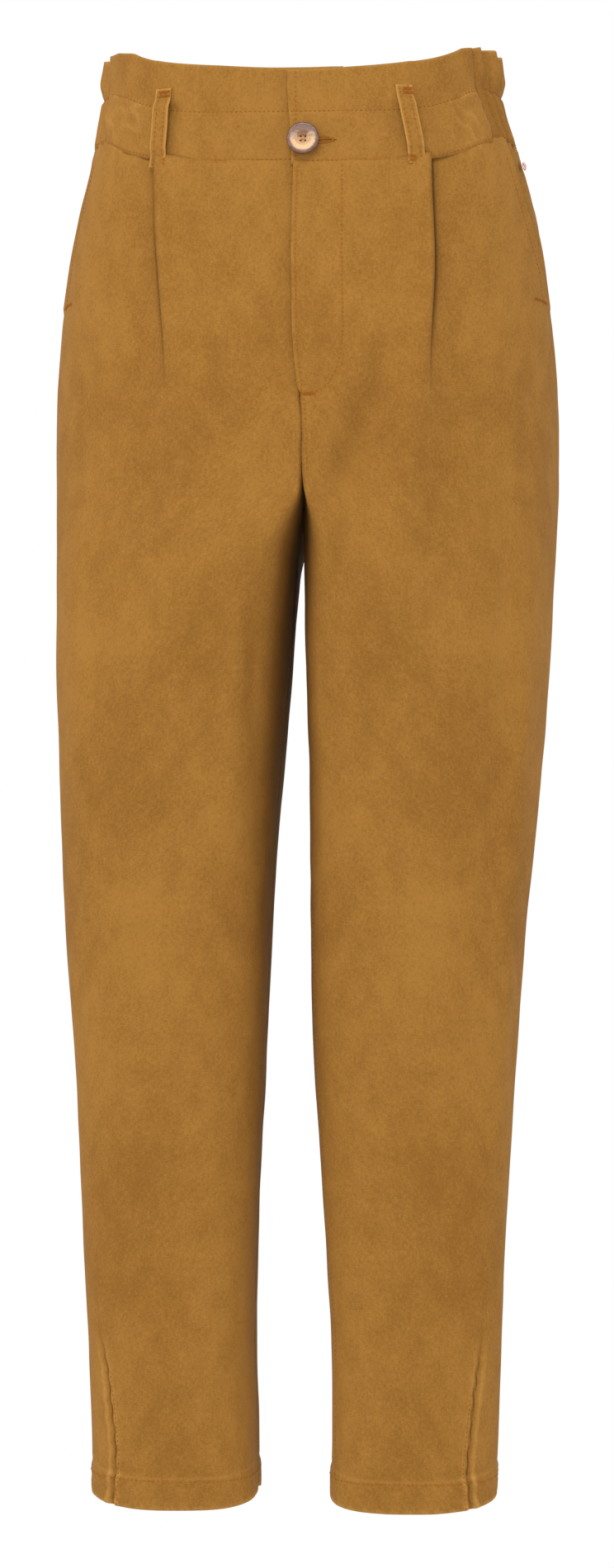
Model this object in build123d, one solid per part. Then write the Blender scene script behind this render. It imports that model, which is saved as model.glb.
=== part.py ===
from build123d import *
from math import atan, cos, degrees, hypot, sin
import os

"""High-waisted, pleated, tapered cotton trousers, hanging from the waist.

Millimetres. +Z is up, -Y is the front and +X is the wearer's left. The origin is the
middle of the waist opening, level with the top of the gathered back waistband.
Cloth is drawn as plain sheets of one thickness, each panel a closed solid.
"""

os.makedirs("parts", exist_ok=True)

# ---- driving dimensions ----
cloth = 1.6                 # one layer of cotton twill with its lining allowance
layer = 0.8                 # thin inner layer: pocketing and band facings
length = 1006.0             # waist to hem
band_height = 64.0          # whole waistband, frill and band together
front_dip = 31.0            # how far the front top edge lies below the back top edge
back_seam = -70.0           # height of the waist seam at the sides and back
side_seam_y = -5.0          # side seams and inseams lie in this plane
band_seam_y = -50.0         # front band meets the gathered back band here
crotch = -318.0             # height of the crotch point

fly_top_y = -89.5           # front plane: depth at height 0 ...
fly_slope = 0.114           # ... and how fast it comes forward going down
flat_half = 50.0            # half width of the flat front
fly_bottom = -248.0         # lower end of the fly opening
lap = 2.8                   # how far the right front lies behind the left front

fold_bottom = (5.0, -250.0)  # fold line of the fly flap, x and z
fold_top = (44.0, -6.0)
fold_gap = 1.2              # room each side of the fold line

zip_x = 7.0                 # centre of the zip
zip_top = -100.0
zip_bottom = -226.0
tooth_pitch = 3.2
slider_size = (8.0, 9.0)    # across and along the zip

button_x = 5.0
button_z = -79.0
button_radius = 10.8
button_thick = 3.4
button_stand = 3.0          # shank length in front of the band

loop_width = 12.0
loop_length = 53.5
loop_gap = 3.4
loop_seat = 1.0             # the flat loop ends clear the curved band and panel by this much

pocket_depth = 9.0          # facing lies this far inside the front panel

TRUNK = [
    # height, outer half width, back depth; the front depth follows the front plane
    (0.0, 136.0, 98.0),
    (-50.0, 144.0, 104.7),
    (-75.0, 149.0, 108.0),
    (-118.0, 160.0, 119.0),
    (-164.0, 168.0, 131.0),
    (-222.0, 174.0, 140.0),
    (-262.0, 175.0, 141.0),
    (crotch, 174.5, 133.0),
]
LEGS = [
    # height, outer half width, half gap, front, back, start of the flat from the inner edge
    (-345.0, 173.0, 2.0, -116.0, 124.0, 14.0),
    (-434.0, 171.0, 7.0, -104.0, 110.0, 50.0),
    (-526.0, 165.5, 11.5, -88.0, 96.0, 66.0),
    (-618.0, 160.0, 14.5, -73.0, 84.0, 66.0),
    (-710.0, 153.0, 18.0, -63.0, 75.0, 62.0),
    (-802.0, 148.5, 23.0, -57.0, 68.0, 58.0),
    (-894.0, 144.0, 27.5, -53.0, 62.0, 54.0),
    (-length, 140.5, 25.0, -50.0, 58.0, 54.0),
]
hem_lean = -8.5             # the legs hang this far towards the wearer's right at the hem
lean_run = 350.0            # and reach it this far below the crotch
round_share = 0.5523        # handle length that makes a Bezier quarter an ellipse


def front_y(z):
    """Depth of the flat front plane at height z."""
    return fly_top_y + fly_slope * z


def fold_x(z):
    """Where the fold line of the fly flap crosses height z."""
    share = (z - fold_bottom[1]) / (fold_top[1] - fold_bottom[1])
    return fold_bottom[0] + share * (fold_top[0] - fold_bottom[0])


def lean(z):
    """Sideways shift of the legs at height z."""
    share = min(1.0, max(0.0, (crotch - z) / lean_run))
    return hem_lean * share * share * (3 - 2 * share)


def quarter(start, end, z, turn_at_start):
    """Quarter of a rounded outline from start to end, as one cubic edge."""
    (x0, y0), (x1, y1) = start, end
    if abs(x1 - x0) < 0.01:
        return Edge.make_line((x0, y0, z), (x1, y1, z))
    k = round_share
    if turn_at_start == "across":
        a, b = (x0 + k * (x1 - x0), y0), (x1, y1 + k * (y0 - y1))
    else:
        a, b = (x0, y0 + k * (y1 - y0)), (x1 + k * (x0 - x1), y1)
    points = [start, a, b, end]
    return Edge.make_bezier(*[(x, y, z) for x, y in points])


def outline(side, z, dims, inset, open_middle):
    """Closed outline of one half of the trousers at height z, inset into the cloth."""
    outer, inner, front, back, flat_start, flat_end = dims
    leaf = lap if side < 0 and z > fly_bottom - 20 else 0.0
    f, b = front + inset + leaf, back - inset
    x_out = outer - inset
    x_in = -3.0 if open_middle else inner + inset
    x_a = max(x_in, inner + flat_start)
    x_b = inner + flat_end
    middle = (f + b) / 2 - 4.0

    def at(x):
        return side * x + lean(z)

    path = [(x_a, f), (x_b, f), (x_out, middle), (x_b, b), (x_a, b), (x_in, middle)]
    p = [(at(x), y) for x, y in path]
    edges = [
        Edge.make_line((*p[0], z), (*p[1], z)),
        quarter(p[1], p[2], z, "across"),
        quarter(p[2], p[3], z, "along"),
        Edge.make_line((*p[3], z), (*p[4], z)),
        quarter(p[4], p[5], z, "across"),
        quarter(p[5], p[0], z, "along"),
    ]
    return Wire(edges)


def levels():
    """Every height with its outer and inner edge, depths and flat front."""
    rows = [(z, (w, 0.0, front_y(max(z, -262.0)), b, 0.0, flat_half)) for z, w, b in TRUNK]
    rows += [(z, (w, g, f, b, s, s + 12.0)) for z, w, g, f, b, s in LEGS]
    return rows


def body(side, inset, past_ends=0.0, open_middle=False):
    """Solid filling one half of the trousers, up to a given distance inside the cloth."""
    rows = levels()
    if open_middle:
        rows = rows[:len(TRUNK)]
    wires = []
    for number, (z, dims) in enumerate(rows):
        if number == 0:
            z += past_ends
        if number == len(rows) - 1:
            z -= past_ends
        wires.append(outline(side, z, dims, inset, open_middle))
    return Solid.make_loft(wires, ruled=True)


def block(x0, x1, y0, y1, z0, z1):
    """Box between two corners."""
    size = (x1 - x0, y1 - y0, z1 - z0)
    return Pos((x0 + x1) / 2, (y0 + y1) / 2, (z0 + z1) / 2) * Box(*size)


def front_prism(points, y0=-300.0, y1=300.0):
    """Prism along Y through a polygon given as x and z."""
    face = make_face(Polyline(*[(x, y0, z) for x, z in points], close=True))
    return extrude(face, amount=y1 - y0, dir=(0, 1, 0))


# The front plane as a workplane: local x is x, local y runs up the plane, local z points out.
tilt = degrees(atan(fly_slope))
front_plane = Plane(origin=(0, fly_top_y, 0), x_dir=(1, 0, 0), z_dir=(0, -1, fly_slope))
up_scale = hypot(1.0, fly_slope)


def plate(points, depth, thick):
    """Flat piece on the front plane: x and height corners, depth behind the plane."""
    local = [(x, z * up_scale) for x, z in points]
    face = make_face(Polyline(*local, close=True))
    solid = extrude(face, amount=thick)
    return front_plane * (Pos(0, 0, -depth - thick) * solid)


def on_front(x, z, depth):
    """Place on the front plane, at a distance behind it."""
    return front_plane * Pos(x, z * up_scale, -depth)


# ---- cutting spaces ----
far = 400.0
front_half = block(-far, far, -far, side_seam_y, -length - 20, 40)
back_half = block(-far, far, side_seam_y, far, -length - 20, 40)
front_seam_z = -front_dip - band_height
front_top = 10.0            # pieces run up to here before their top edges are cut


def above(z_front, z_side):
    """Space above a seam that dips from the side to the flat front."""
    y_front = front_y(z_front)
    slope = (z_front - z_side) / (y_front - band_seam_y)
    top = 60.0
    low = z_front - slope * far
    points = [(y_front - far, low), (band_seam_y, z_side), (far, z_side)]
    points += [(far, top), (y_front - far, top)]
    face = make_face(Polyline(*[(-far, y, z) for y, z in points], close=True))
    return extrude(face, amount=2 * far, dir=(1, 0, 0))


over_seam = above(front_seam_z, back_seam)
over_top = above(-front_dip, 0.0)
rise_curve = ThreePointArc((0, -135, -262), (0, 12, crotch), (0, 152, -232))
rise_face = make_face(
    Curve() + [rise_curve, Polyline((0, 152, -232), (0, 152, 50), (0, -135, 50), (0, -135, -262))]
)
rise_space = extrude(rise_face, amount=10, dir=(1, 0, 0), both=True)

mouth_top = (134.0, -64.0)
mouth_end = (168.5, -182.0)


def mouth_cut(side):
    """Space outside the slanted pocket mouth on the front."""
    points = [mouth_top, mouth_end, (far, mouth_end[1]), (far, mouth_top[1] + 30)]
    points.append((mouth_top[0] - 9, mouth_top[1] + 30))
    return front_prism([(side * x, z) for x, z in points], -far, side_seam_y)


def shell(side, depth, thick):
    """One layer of cloth, open down the middle above the crotch."""
    outer = body(side, depth)
    inner = body(side, depth + thick, past_ends=2.0)
    middle = body(side, depth + thick, past_ends=2.0, open_middle=True) & rise_space
    return outer - inner - middle


pieces = {}
cloth_shell = {side: shell(side, 0.0, cloth) for side in (-1, 1)}
names = {-1: "right", 1: "left"}

# ---- leg panels ----
for side, name in names.items():
    pieces[name + "_back_panel"] = (cloth_shell[side] & back_half) - over_seam
    front = (cloth_shell[side] & front_half) - mouth_cut(side)
    if side < 0:
        edge = zip_x - 5.0
        front += plate(
            [(-0.5, fly_bottom), (edge, fly_bottom), (edge, front_top), (-0.5, front_top)],
            lap, cloth,
        )
    else:
        open_fly = [(-20.0, fold_bottom[1]), (fold_bottom[0] + fold_gap, fold_bottom[1])]
        open_fly += [(fold_top[0] + fold_gap, fold_top[1]), (-20.0, fold_top[1])]
        front -= front_prism(open_fly, -far, 0.0)
    pieces[name + "_front_panel"] = front - over_seam

# ---- fly flap, its facing and the shield behind the zip ----
flap_edge_x = -1.5


def fold_edge(z0, z1, start_x, clearance=fold_gap):
    """Corners of a piece between an edge and the fold line, from one height to another."""
    return [
        (start_x, z0), (fold_x(z0) - clearance, z0), (fold_x(z1) - clearance, z1), (start_x, z1),
    ]


pieces["fly_flap"] = plate(fold_edge(fly_bottom, front_seam_z, flap_edge_x), 0.0, cloth)
pieces["fly_facing"] = plate(
    fold_edge(fly_bottom + 4, front_seam_z, flap_edge_x + 1, 2.0), cloth, 0.6)
shield_low, shield_x = fly_bottom + 2, zip_x + 18
shield = plate([(-6, shield_low), (shield_x, shield_low), (shield_x, front_seam_z - 1),
                (-6, front_seam_z - 1)], 8.6, cloth)
shield_root = plate([(-6, shield_low), (zip_x - 5.4, shield_low),
                     (zip_x - 5.4, front_seam_z - 1), (-6, front_seam_z - 1)], 6.5, 2.2)
pieces["fly_shield"] = shield + shield_root
pieces["fly_edge_strip"] = plate([(-6, shield_low), (zip_x - 5.0, shield_low),
                                  (zip_x - 5.0, front_seam_z - 1), (-6, front_seam_z - 1)],
                                 lap + cloth, 1.5)

# ---- zip ----
tape_depth, tape_thick = 5.9, 0.6
tooth_depth, tooth_thick = 5.3, 1.8
pieces["zip_tape_right"] = plate([(-5.5, zip_bottom - 8), (zip_x - 1.6, zip_bottom - 8),
                                  (zip_x - 1.6, front_seam_z - 1), (-5.5, front_seam_z - 1)],
                                 tape_depth, tape_thick)
pieces["zip_tape_left"] = plate([(zip_x + 1.6, zip_bottom - 8), (zip_x + 13, zip_bottom - 8),
                                 (zip_x + 13, front_seam_z - 1), (zip_x + 1.6, front_seam_z - 1)],
                                tape_depth, tape_thick)


def comb(side):
    """Row of zip teeth on one bead, as a comb that meshes with the row facing it."""
    reach, root, bead = 1.1, 1.5, 0.7
    count = int((zip_top - zip_bottom) / tooth_pitch)
    start = zip_bottom + (0.5 * tooth_pitch if side > 0 else 0.0)
    tooth = 0.38 * tooth_pitch
    points = [(zip_x + side * (root + bead), zip_bottom - 1)]
    points.append((zip_x + side * root, zip_bottom - 1))
    for number in range(count):
        low = start + number * tooth_pitch
        for x, z in ((root, low), (-reach, low), (-reach, low + tooth), (root, low + tooth)):
            points.append((zip_x + side * x, z))
    points.append((zip_x + side * root, zip_top + 1))
    points.append((zip_x + side * (root + bead), zip_top + 1))
    return plate(points, tooth_depth, tooth_thick)


def trimmed_tape(name, side):
    """Tape cut back where the bead of its teeth grips it."""
    grip = plate([(zip_x + side * 1.0, zip_bottom - 1.2), (zip_x + side * 2.2, zip_bottom - 1.2),
                  (zip_x + side * 2.2, zip_top + 1.2), (zip_x + side * 1.0, zip_top + 1.2)],
                 tooth_depth, tooth_thick)
    pieces[name] = pieces[name] - grip


for side, name in names.items():
    pieces["zip_teeth_" + name] = comb(side)
    trimmed_tape("zip_tape_" + name, side)
    stop_x = sorted((zip_x + side * 0.3, zip_x + side * 3.0))
    pieces["zip_top_stop_" + name] = plate(
        [(stop_x[0], zip_top + 1.6), (stop_x[1], zip_top + 1.6),
         (stop_x[1], zip_top + 4.4), (stop_x[0], zip_top + 4.4)], tape_depth - 0.7, 0.7)
pieces["zip_bottom_stop"] = plate(
    [(zip_x - 3.2, zip_bottom - 5), (zip_x + 1.2, zip_bottom - 5),
     (zip_x + 1.2, zip_bottom - 2.4), (zip_x - 3.2, zip_bottom - 2.4)], tape_depth - 0.7, 0.7)

# ---- zip slider and its pull tab ----
slider_z = zip_top - 3.0
wide, tall = slider_size
plate_gap, shell_thick = 0.2, 0.7


def slider_box(x_size, y_size, z_size, depth, x=0.0, up=0.0):
    """Box on the zip line, its front face at the given depth."""
    place = on_front(zip_x + x, slider_z, depth) * Pos(0, up, -z_size / 2)
    return place * Box(x_size, y_size, z_size)


front_shell = slider_box(wide, tall, shell_thick, tooth_depth - plate_gap - shell_thick)
back_shell = slider_box(wide, tall, shell_thick, tooth_depth + tooth_thick + plate_gap)
bridge = slider_box(1.2, 1.6, 3.6, tooth_depth - plate_gap - shell_thick, up=tall / 2 - 0.8)
cheek_depth = tooth_depth - plate_gap - shell_thick
slider = front_shell + back_shell + bridge
pivot_depth = 3.4
for x in (-1.9, 1.9):
    slider += slider_box(0.8, 2.4, cheek_depth - 2.5, 2.5, x=x, up=2.2)
pivot_place = on_front(zip_x, slider_z, pivot_depth) * Pos(0, 2.2, 0) * Rot(0, 90, 0)
slider += pivot_place * Cylinder(0.45, 3.8)
pieces["zip_slider"] = slider

eye = pivot_place * Cylinder(0.95, 2.6)
tab = on_front(zip_x, slider_z, pivot_depth) * Pos(0, 2.2 - 12.5, 0) * Box(4.2, 21.0, 0.9)
window = on_front(zip_x, slider_z, pivot_depth) * Pos(0, 2.2 - 18, 0) * Box(2.2, 6.0, 2.0)
neck = on_front(zip_x, slider_z, pivot_depth) * Pos(0, 2.2 - 1.2, 0) * Box(2.6, 2.4, 0.9)
pieces["zip_pull_tab"] = (eye + tab + neck - window) - pivot_place * Cylinder(0.6, 6.0)

# ---- waistband ----
ring_front = over_seam & block(-far, far, -far, band_seam_y, -140, 40)
ring_back = block(-far, far, band_seam_y, far, back_seam, 0.0)
underlap = [(-0.5, front_seam_z - 5), (34, front_seam_z - 5), (34, front_top), (-0.5, front_top)]
right_band = (cloth_shell[-1] & block(-far, far, -far, band_seam_y, -140, 40))
right_band = (right_band + plate(underlap, lap, cloth)) & ring_front
pieces["waistband_front_right"] = right_band - over_top
left_band = (cloth_shell[1] & ring_front) - over_top
open_band = [(-20, front_seam_z - 5), (fold_x(front_seam_z - 5) + fold_gap, front_seam_z - 5)]
open_band += [(fold_x(20.0) + fold_gap, 20.0), (-20, 20.0)]
pieces["waistband_front_left"] = left_band - front_prism(open_band, -far, 0.0)
overlap_thick = 2.2
overlap = plate(fold_edge(front_seam_z, -front_dip, -6.0), 0.0, overlap_thick)
slot = plate([(button_x - 3, button_z - 2.4), (button_x + 27, button_z - 2.4),
              (button_x + 27, button_z + 2.4), (button_x - 3, button_z + 2.4)], -1.0, 5.0)
pieces["waistband_overlap"] = overlap - slot
back_rings = [cloth_shell[side] & ring_back for side in (-1, 1)]
pieces["waistband_back"] = back_rings[0] + back_rings[1]

facing_shell = {side: shell(side, cloth, layer) for side in (-1, 1)}
lining_shell = {side: shell(side, 2 * cloth, layer) for side in (-1, 1)}
elastic_shell = {side: shell(side, cloth + 0.1, 1.4) for side in (-1, 1)}
front_keep = {-1: block(-far, -1.0, -far, far, -far, far),
              1: block(fold_x(-20.0) + 6, far, -far, far, -far, far)}
for side, name in names.items():
    pieces["band_facing_" + name] = (facing_shell[side] & ring_front & front_keep[side]) - over_top
lining = [lining_shell[side] & ring_back for side in (-1, 1)]
pieces["band_facing_back"] = lining[0] + lining[1]
elastic_zone = block(-far, far, -30.0, far, back_seam + 3, back_seam + 38)
elastic = [elastic_shell[side] & elastic_zone for side in (-1, 1)]
pieces["back_elastic"] = elastic[0] + elastic[1]

# ---- side pockets ----
bag_low, bag_inner = -248.0, 78.0
for side, name in names.items():
    facing = shell(side, pocket_depth, cloth)
    region = [(side * x, z) for x, z in (
        (mouth_top[0] - 30, -60), (mouth_end[0] - 26, -196), (far, -196), (far, -60))]
    facing = facing & front_prism(region, -far, side_seam_y - 1.0)
    pieces[name + "_hip_facing"] = facing - above(front_seam_z - 1, back_seam - 1)
    corners = [(bag_inner, -60), (bag_inner, bag_low + 14), (bag_inner + 14, bag_low),
               (128, bag_low), (146, bag_low + 24), (mouth_end[0] - 24, mouth_end[1]),
               (mouth_top[0] - 2, -60)]
    inner = [(bag_inner + layer, -40), (bag_inner + layer, bag_low + 14),
             (bag_inner + 14, bag_low + layer), (128 - layer, bag_low + layer),
             (146 - layer, bag_low + 24), (mouth_end[0] - 24 - layer, mouth_end[1] - 20),
             (mouth_end[0] + 4, mouth_end[1] - 16), (mouth_top[0] + 10, -40)]
    outer_bag = body(side, cloth) - body(side, pocket_depth + cloth + layer, past_ends=2.0)
    inner_bag = body(side, cloth + layer) - body(side, pocket_depth + cloth, past_ends=2.0)
    bag = outer_bag & front_prism([(side * x, z) for x, z in corners], -far, side_seam_y - 2)
    bag -= inner_bag & front_prism([(side * x, z) for x, z in inner], -far, side_seam_y)
    pieces[name + "_pocket_bag"] = bag - above(front_seam_z - 1, back_seam - 1)

# ---- belt loops ----


def band_place(side, share, z, back=False):
    """Workplane on the band: local x along the band, local y up, local z out of the cloth."""
    def point(height, t):
        rows = TRUNK
        for upper, lower in zip(rows, rows[1:]):
            if upper[0] >= height >= lower[0]:
                part = (height - lower[0]) / (upper[0] - lower[0])
                wide_half = lower[1] + part * (upper[1] - lower[1])
                rear = lower[2] + part * (upper[2] - lower[2])
        leaf = lap if side < 0 else 0.0
        front = front_y(height) + leaf
        middle = (front + rear) / 2 - 4.0
        end = rear if back else front
        bend = round_share
        xs = (flat_half, flat_half + bend * (wide_half - flat_half), wide_half, wide_half)
        ys = (end, end, middle + bend * (end - middle), middle)
        weights = ((1 - t) ** 3, 3 * t * (1 - t) ** 2, 3 * t * t * (1 - t), t ** 3)
        x = sum(w * v for w, v in zip(weights, xs))
        y = sum(w * v for w, v in zip(weights, ys))
        return Vector(side * x, y, height)

    along = point(z, share + 0.02) - point(z, share - 0.02)
    rise = point(z + 5, share) - point(z - 5, share)
    out = along.cross(rise).normalized()
    if (out.Y > 0) != back:
        out = out * -1
    return Plane(origin=point(z, share), x_dir=rise.cross(out), z_dir=out)


def belt_loop(place):
    """Flat strap standing off the band, sewn down at its two ends."""
    strap = Pos(0, 0, loop_gap + cloth / 2) * Box(loop_width, loop_length, cloth)
    end = (loop_length - 7.0) / 2
    for spot in (-end, end):
        strap += Pos(0, spot, loop_gap / 2) * Box(loop_width, 7.0, loop_gap)
    return place * Pos(0, 0, loop_seat) * strap


pieces["belt_loop_right"] = belt_loop(band_place(-1, 0.262, -68.0))
pieces["belt_loop_left"] = belt_loop(band_place(1, 0.172, -69.0))
for side, name in names.items():
    pieces["belt_loop_back_" + name] = belt_loop(band_place(side, 0.3, -38.0, back=True))
centre = Plane(origin=(0, 103.1, -38.0), x_dir=(-1, 0, 0), z_dir=(0, 1, 0.134))
pieces["belt_loop_back_centre"] = belt_loop(centre)

# ---- button, its thread and the metal tag ----
button_place = on_front(button_x, button_z, -button_stand)
blank = Pos(0, 0, button_thick / 2) * Cylinder(button_radius, button_thick)
dish = Pos(0, 0, button_thick + 5.2) * Sphere(7.4)
blank = fillet(blank.edges(), 1.2) - dish
hole_spread = 1.5
for dx in (-hole_spread, hole_spread):
    for dy in (-hole_spread, hole_spread):
        blank -= Pos(dx, dy, 0) * Cylinder(0.8, 20)
pieces["button"] = button_place * blank
stitches = Part()
for dy in (-hole_spread, hole_spread):
    for dx in (-hole_spread, hole_spread):
        stitches += Pos(dx, dy, 1.2) * Cylinder(0.45, 2.4)
    stitches += Pos(0, dy, 2.0) * Box(2 * hole_spread, 0.7, 0.7)
stitches += Pos(0, 0, 2.0) * Box(0.7, 2 * hole_spread, 0.7)
pieces["button_thread"] = button_place * stitches
shank_length = lap + button_stand - 0.5
pieces["button_shank"] = on_front(button_x, button_z, lap) * (
    Pos(0, 0, shank_length / 2) * Cylinder(2.0, shank_length))

tag_place = band_place(1, 0.8, -86.0) * Pos(0, 0, -2.0)
tag = fillet((Pos(0, 0, 0.5) * Box(8.0, 5.0, 1.0)).edges().filter_by(Axis.Z), 1.6)
pieces["metal_tag"] = tag_place * (tag + Pos(0, 0, -3.2) * Cylinder(0.8, 6.5))

for name, solid in pieces.items():
    export_step(solid, "parts/" + name + ".step")
fold_ends = [Vector(x, front_y(z), z) for x, z in (fold_bottom, fold_top)]
print("fold line", fold_ends)
print("slider pivot", pivot_place.position, "button pivot", button_place.position)
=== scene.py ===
import math

import bpy
import numpy as np
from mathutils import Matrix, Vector, noise
from mathutils.bvhtree import BVHTree


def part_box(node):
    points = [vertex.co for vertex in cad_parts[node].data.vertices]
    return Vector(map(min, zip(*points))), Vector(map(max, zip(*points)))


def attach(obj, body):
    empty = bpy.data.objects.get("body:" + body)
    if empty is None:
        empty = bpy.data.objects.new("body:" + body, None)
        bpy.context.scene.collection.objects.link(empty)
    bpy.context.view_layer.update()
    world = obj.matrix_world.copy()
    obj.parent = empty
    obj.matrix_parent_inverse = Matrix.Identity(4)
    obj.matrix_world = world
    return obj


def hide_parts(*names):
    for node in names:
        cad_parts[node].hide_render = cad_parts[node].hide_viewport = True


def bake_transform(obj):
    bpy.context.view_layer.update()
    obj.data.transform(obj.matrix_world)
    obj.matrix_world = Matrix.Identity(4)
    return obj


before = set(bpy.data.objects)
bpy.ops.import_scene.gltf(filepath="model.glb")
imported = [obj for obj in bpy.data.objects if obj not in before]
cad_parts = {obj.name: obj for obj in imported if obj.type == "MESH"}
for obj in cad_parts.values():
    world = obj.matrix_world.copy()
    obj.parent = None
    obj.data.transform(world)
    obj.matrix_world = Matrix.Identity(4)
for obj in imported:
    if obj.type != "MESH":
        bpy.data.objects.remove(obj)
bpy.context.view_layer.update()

# Pleated, high-waisted cotton twill trousers with a gathered frill above the waistband.
# Lengths below are millimetres; they become metres where a mesh is made.
# x runs to the wearer's left, y to the back and z up, as in the CAD frame.

mm = 0.001

# ---- the garment's own sizes ----
cloth = 0.8
lap = 2.8
seam_front = -95.0
seam_side = -70.0
top_front = -31.0
band_seam_y = -50.0
hem_z = -1006.0
hem_turn = 20.0
fly_bottom = -250.0
flap_edge = -1.5
under_edge = -2.0
overlap_edge = -3.0
underlap_end = 34.0
fly_stitch = 31.0
stitch_share = 0.55
BAND_STITCHES = (0.035, stitch_share)
zip_x = 7.0
zip_low = -226.0
zip_high = -100.0
tooth_pitch = 3.2
button_x = 5.0
button_z = -79.0
mouth_top = (134.0, -64.0)
mouth_end = (168.5, -182.0)
fold_low = (5.0, -250.0)
fold_high = (44.0, -6.0)
knee_join = -430.0
tuck = 4.0
mouth_fade = 8.0
front_join_y = -119.2
back_join_y = 140.0
pleat_rise = 4.2
pleat_dip = 3.4

# height, outer half width, half gap, front, back, rounding of the inner corner, end of the flat
SECTIONS = (
    (10, 131, 0, -88.5, 96.5, 0, 50),
    (-50, 140, 0, -95.2, 104.7, 0, 50),
    (-80, 149, 0, -98.6, 109, 0, 50),
    (-118, 160, 0, -103, 119, 0, 50),
    (-164, 168, 0, -108.2, 131, 0, 50),
    (-222, 174, 0, -114.8, 140, 0, 50),
    (-262, 175, 0, -119.2, 141, 0, 50),
    (-316, 174.5, 0, -119.2, 134, 0, 50),
    (-350, 173.2, 3.2, -116, 124, 25, 47),
    (-434, 171, 7, -104, 110, 36, 60),
    (-526, 165.5, 11.5, -88, 96, 46, 74),
    (-618, 160, 14.5, -73, 84, 48, 76),
    (-710, 153, 18, -63, 75, 46, 72),
    (-802, 148.5, 23, -57, 68, 44, 68),
    (-894, 144, 27.5, -53, 62, 42, 64),
    (-1012, 140.3, 25, -50, 58, 42, 64),
)


def smooth(value):
    """Ease from 0 to 1."""
    share = np.clip(value, 0.0, 1.0)
    return share * share * (3 - 2 * share)


def bump(distance, width):
    """Soft hump, 1 at its middle."""
    return np.exp(-np.square(distance / width))


def front_plane(z):
    """Depth of the flat front at a height."""
    return -89.5 + 0.114 * z


def lean(z):
    """Sideways hang of the legs and of the loose top at a height."""
    return -8.5 * smooth((-318.0 - z) / 350.0) - 3.0 * smooth((z + 90.0) / 50.0)


def swing(z):
    """How far both inner legs hang towards the wearer's right at a height."""
    return 3.4 * smooth((-310.0 - z) / 50.0) * (1 - smooth((-740.0 - z) / 220.0))


def waist_seam(y):
    """Height of the seam under the band where the cloth lies at depth y."""
    return seam_side + np.minimum(y - band_seam_y, 0.0) * 0.497


TOP_DEPTHS = (-93.0, -66.0, -50.0, 0.0, 60.0)
TOP_HEIGHTS = (-31.0, -13.0, -9.0, -6.0, -1.0)


def top_edge(y):
    """Height of the frill's top edge where the cloth lies at depth y."""
    return np.interp(y, TOP_DEPTHS, TOP_HEIGHTS)


def middle_drift(x, z):
    """How far the middle seam of the front hangs towards the wearer's left."""
    low = 5.5 * smooth((-200.0 - z) / 75.0) * (1 - smooth((-335.0 - z) / 90.0))
    high = -1.2 * bump(z + 150.0, 45.0)
    return (low + high) * bump(x, 42.0)


def pleat_x(side, z):
    """Half width at which the pleat crosses a height."""
    if side < 0:
        return 95.0 - 9.0 * smooth((seam_front - z) / 170.0)
    return 89.0 + 3.0 * bump(z + 165.0, 48.0)


HEIGHTS = np.arange(12.0, -1014.0, -2.0)
rows = np.array(SECTIONS, float)
DIMS = []
for column in range(1, 7):
    plain = np.interp(-HEIGHTS, -rows[:, 0], rows[:, column])
    for turn in range(2):
        padded_row = np.pad(plain, 9, mode="reflect", reflect_type="odd")
        plain = np.convolve(padded_row, np.ones(19) / 19.0, mode="valid")
    DIMS.append(plain)
DIMS = np.array(DIMS)
DIMS[[1, 4]] *= smooth((-298.0 - HEIGHTS) / 34.0)


def mouth_x(side, z):
    """Half width at which the slanted pocket mouth crosses a height."""
    shift = 8.5 if side < 0 else 3.5
    straight = mouth_top[0] + shift + (mouth_top[1] - z) * (mouth_end[0] - mouth_top[0]) / 118.0
    return min(straight, float(np.interp(-z, -HEIGHTS, DIMS[0])) - 1.8)


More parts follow.
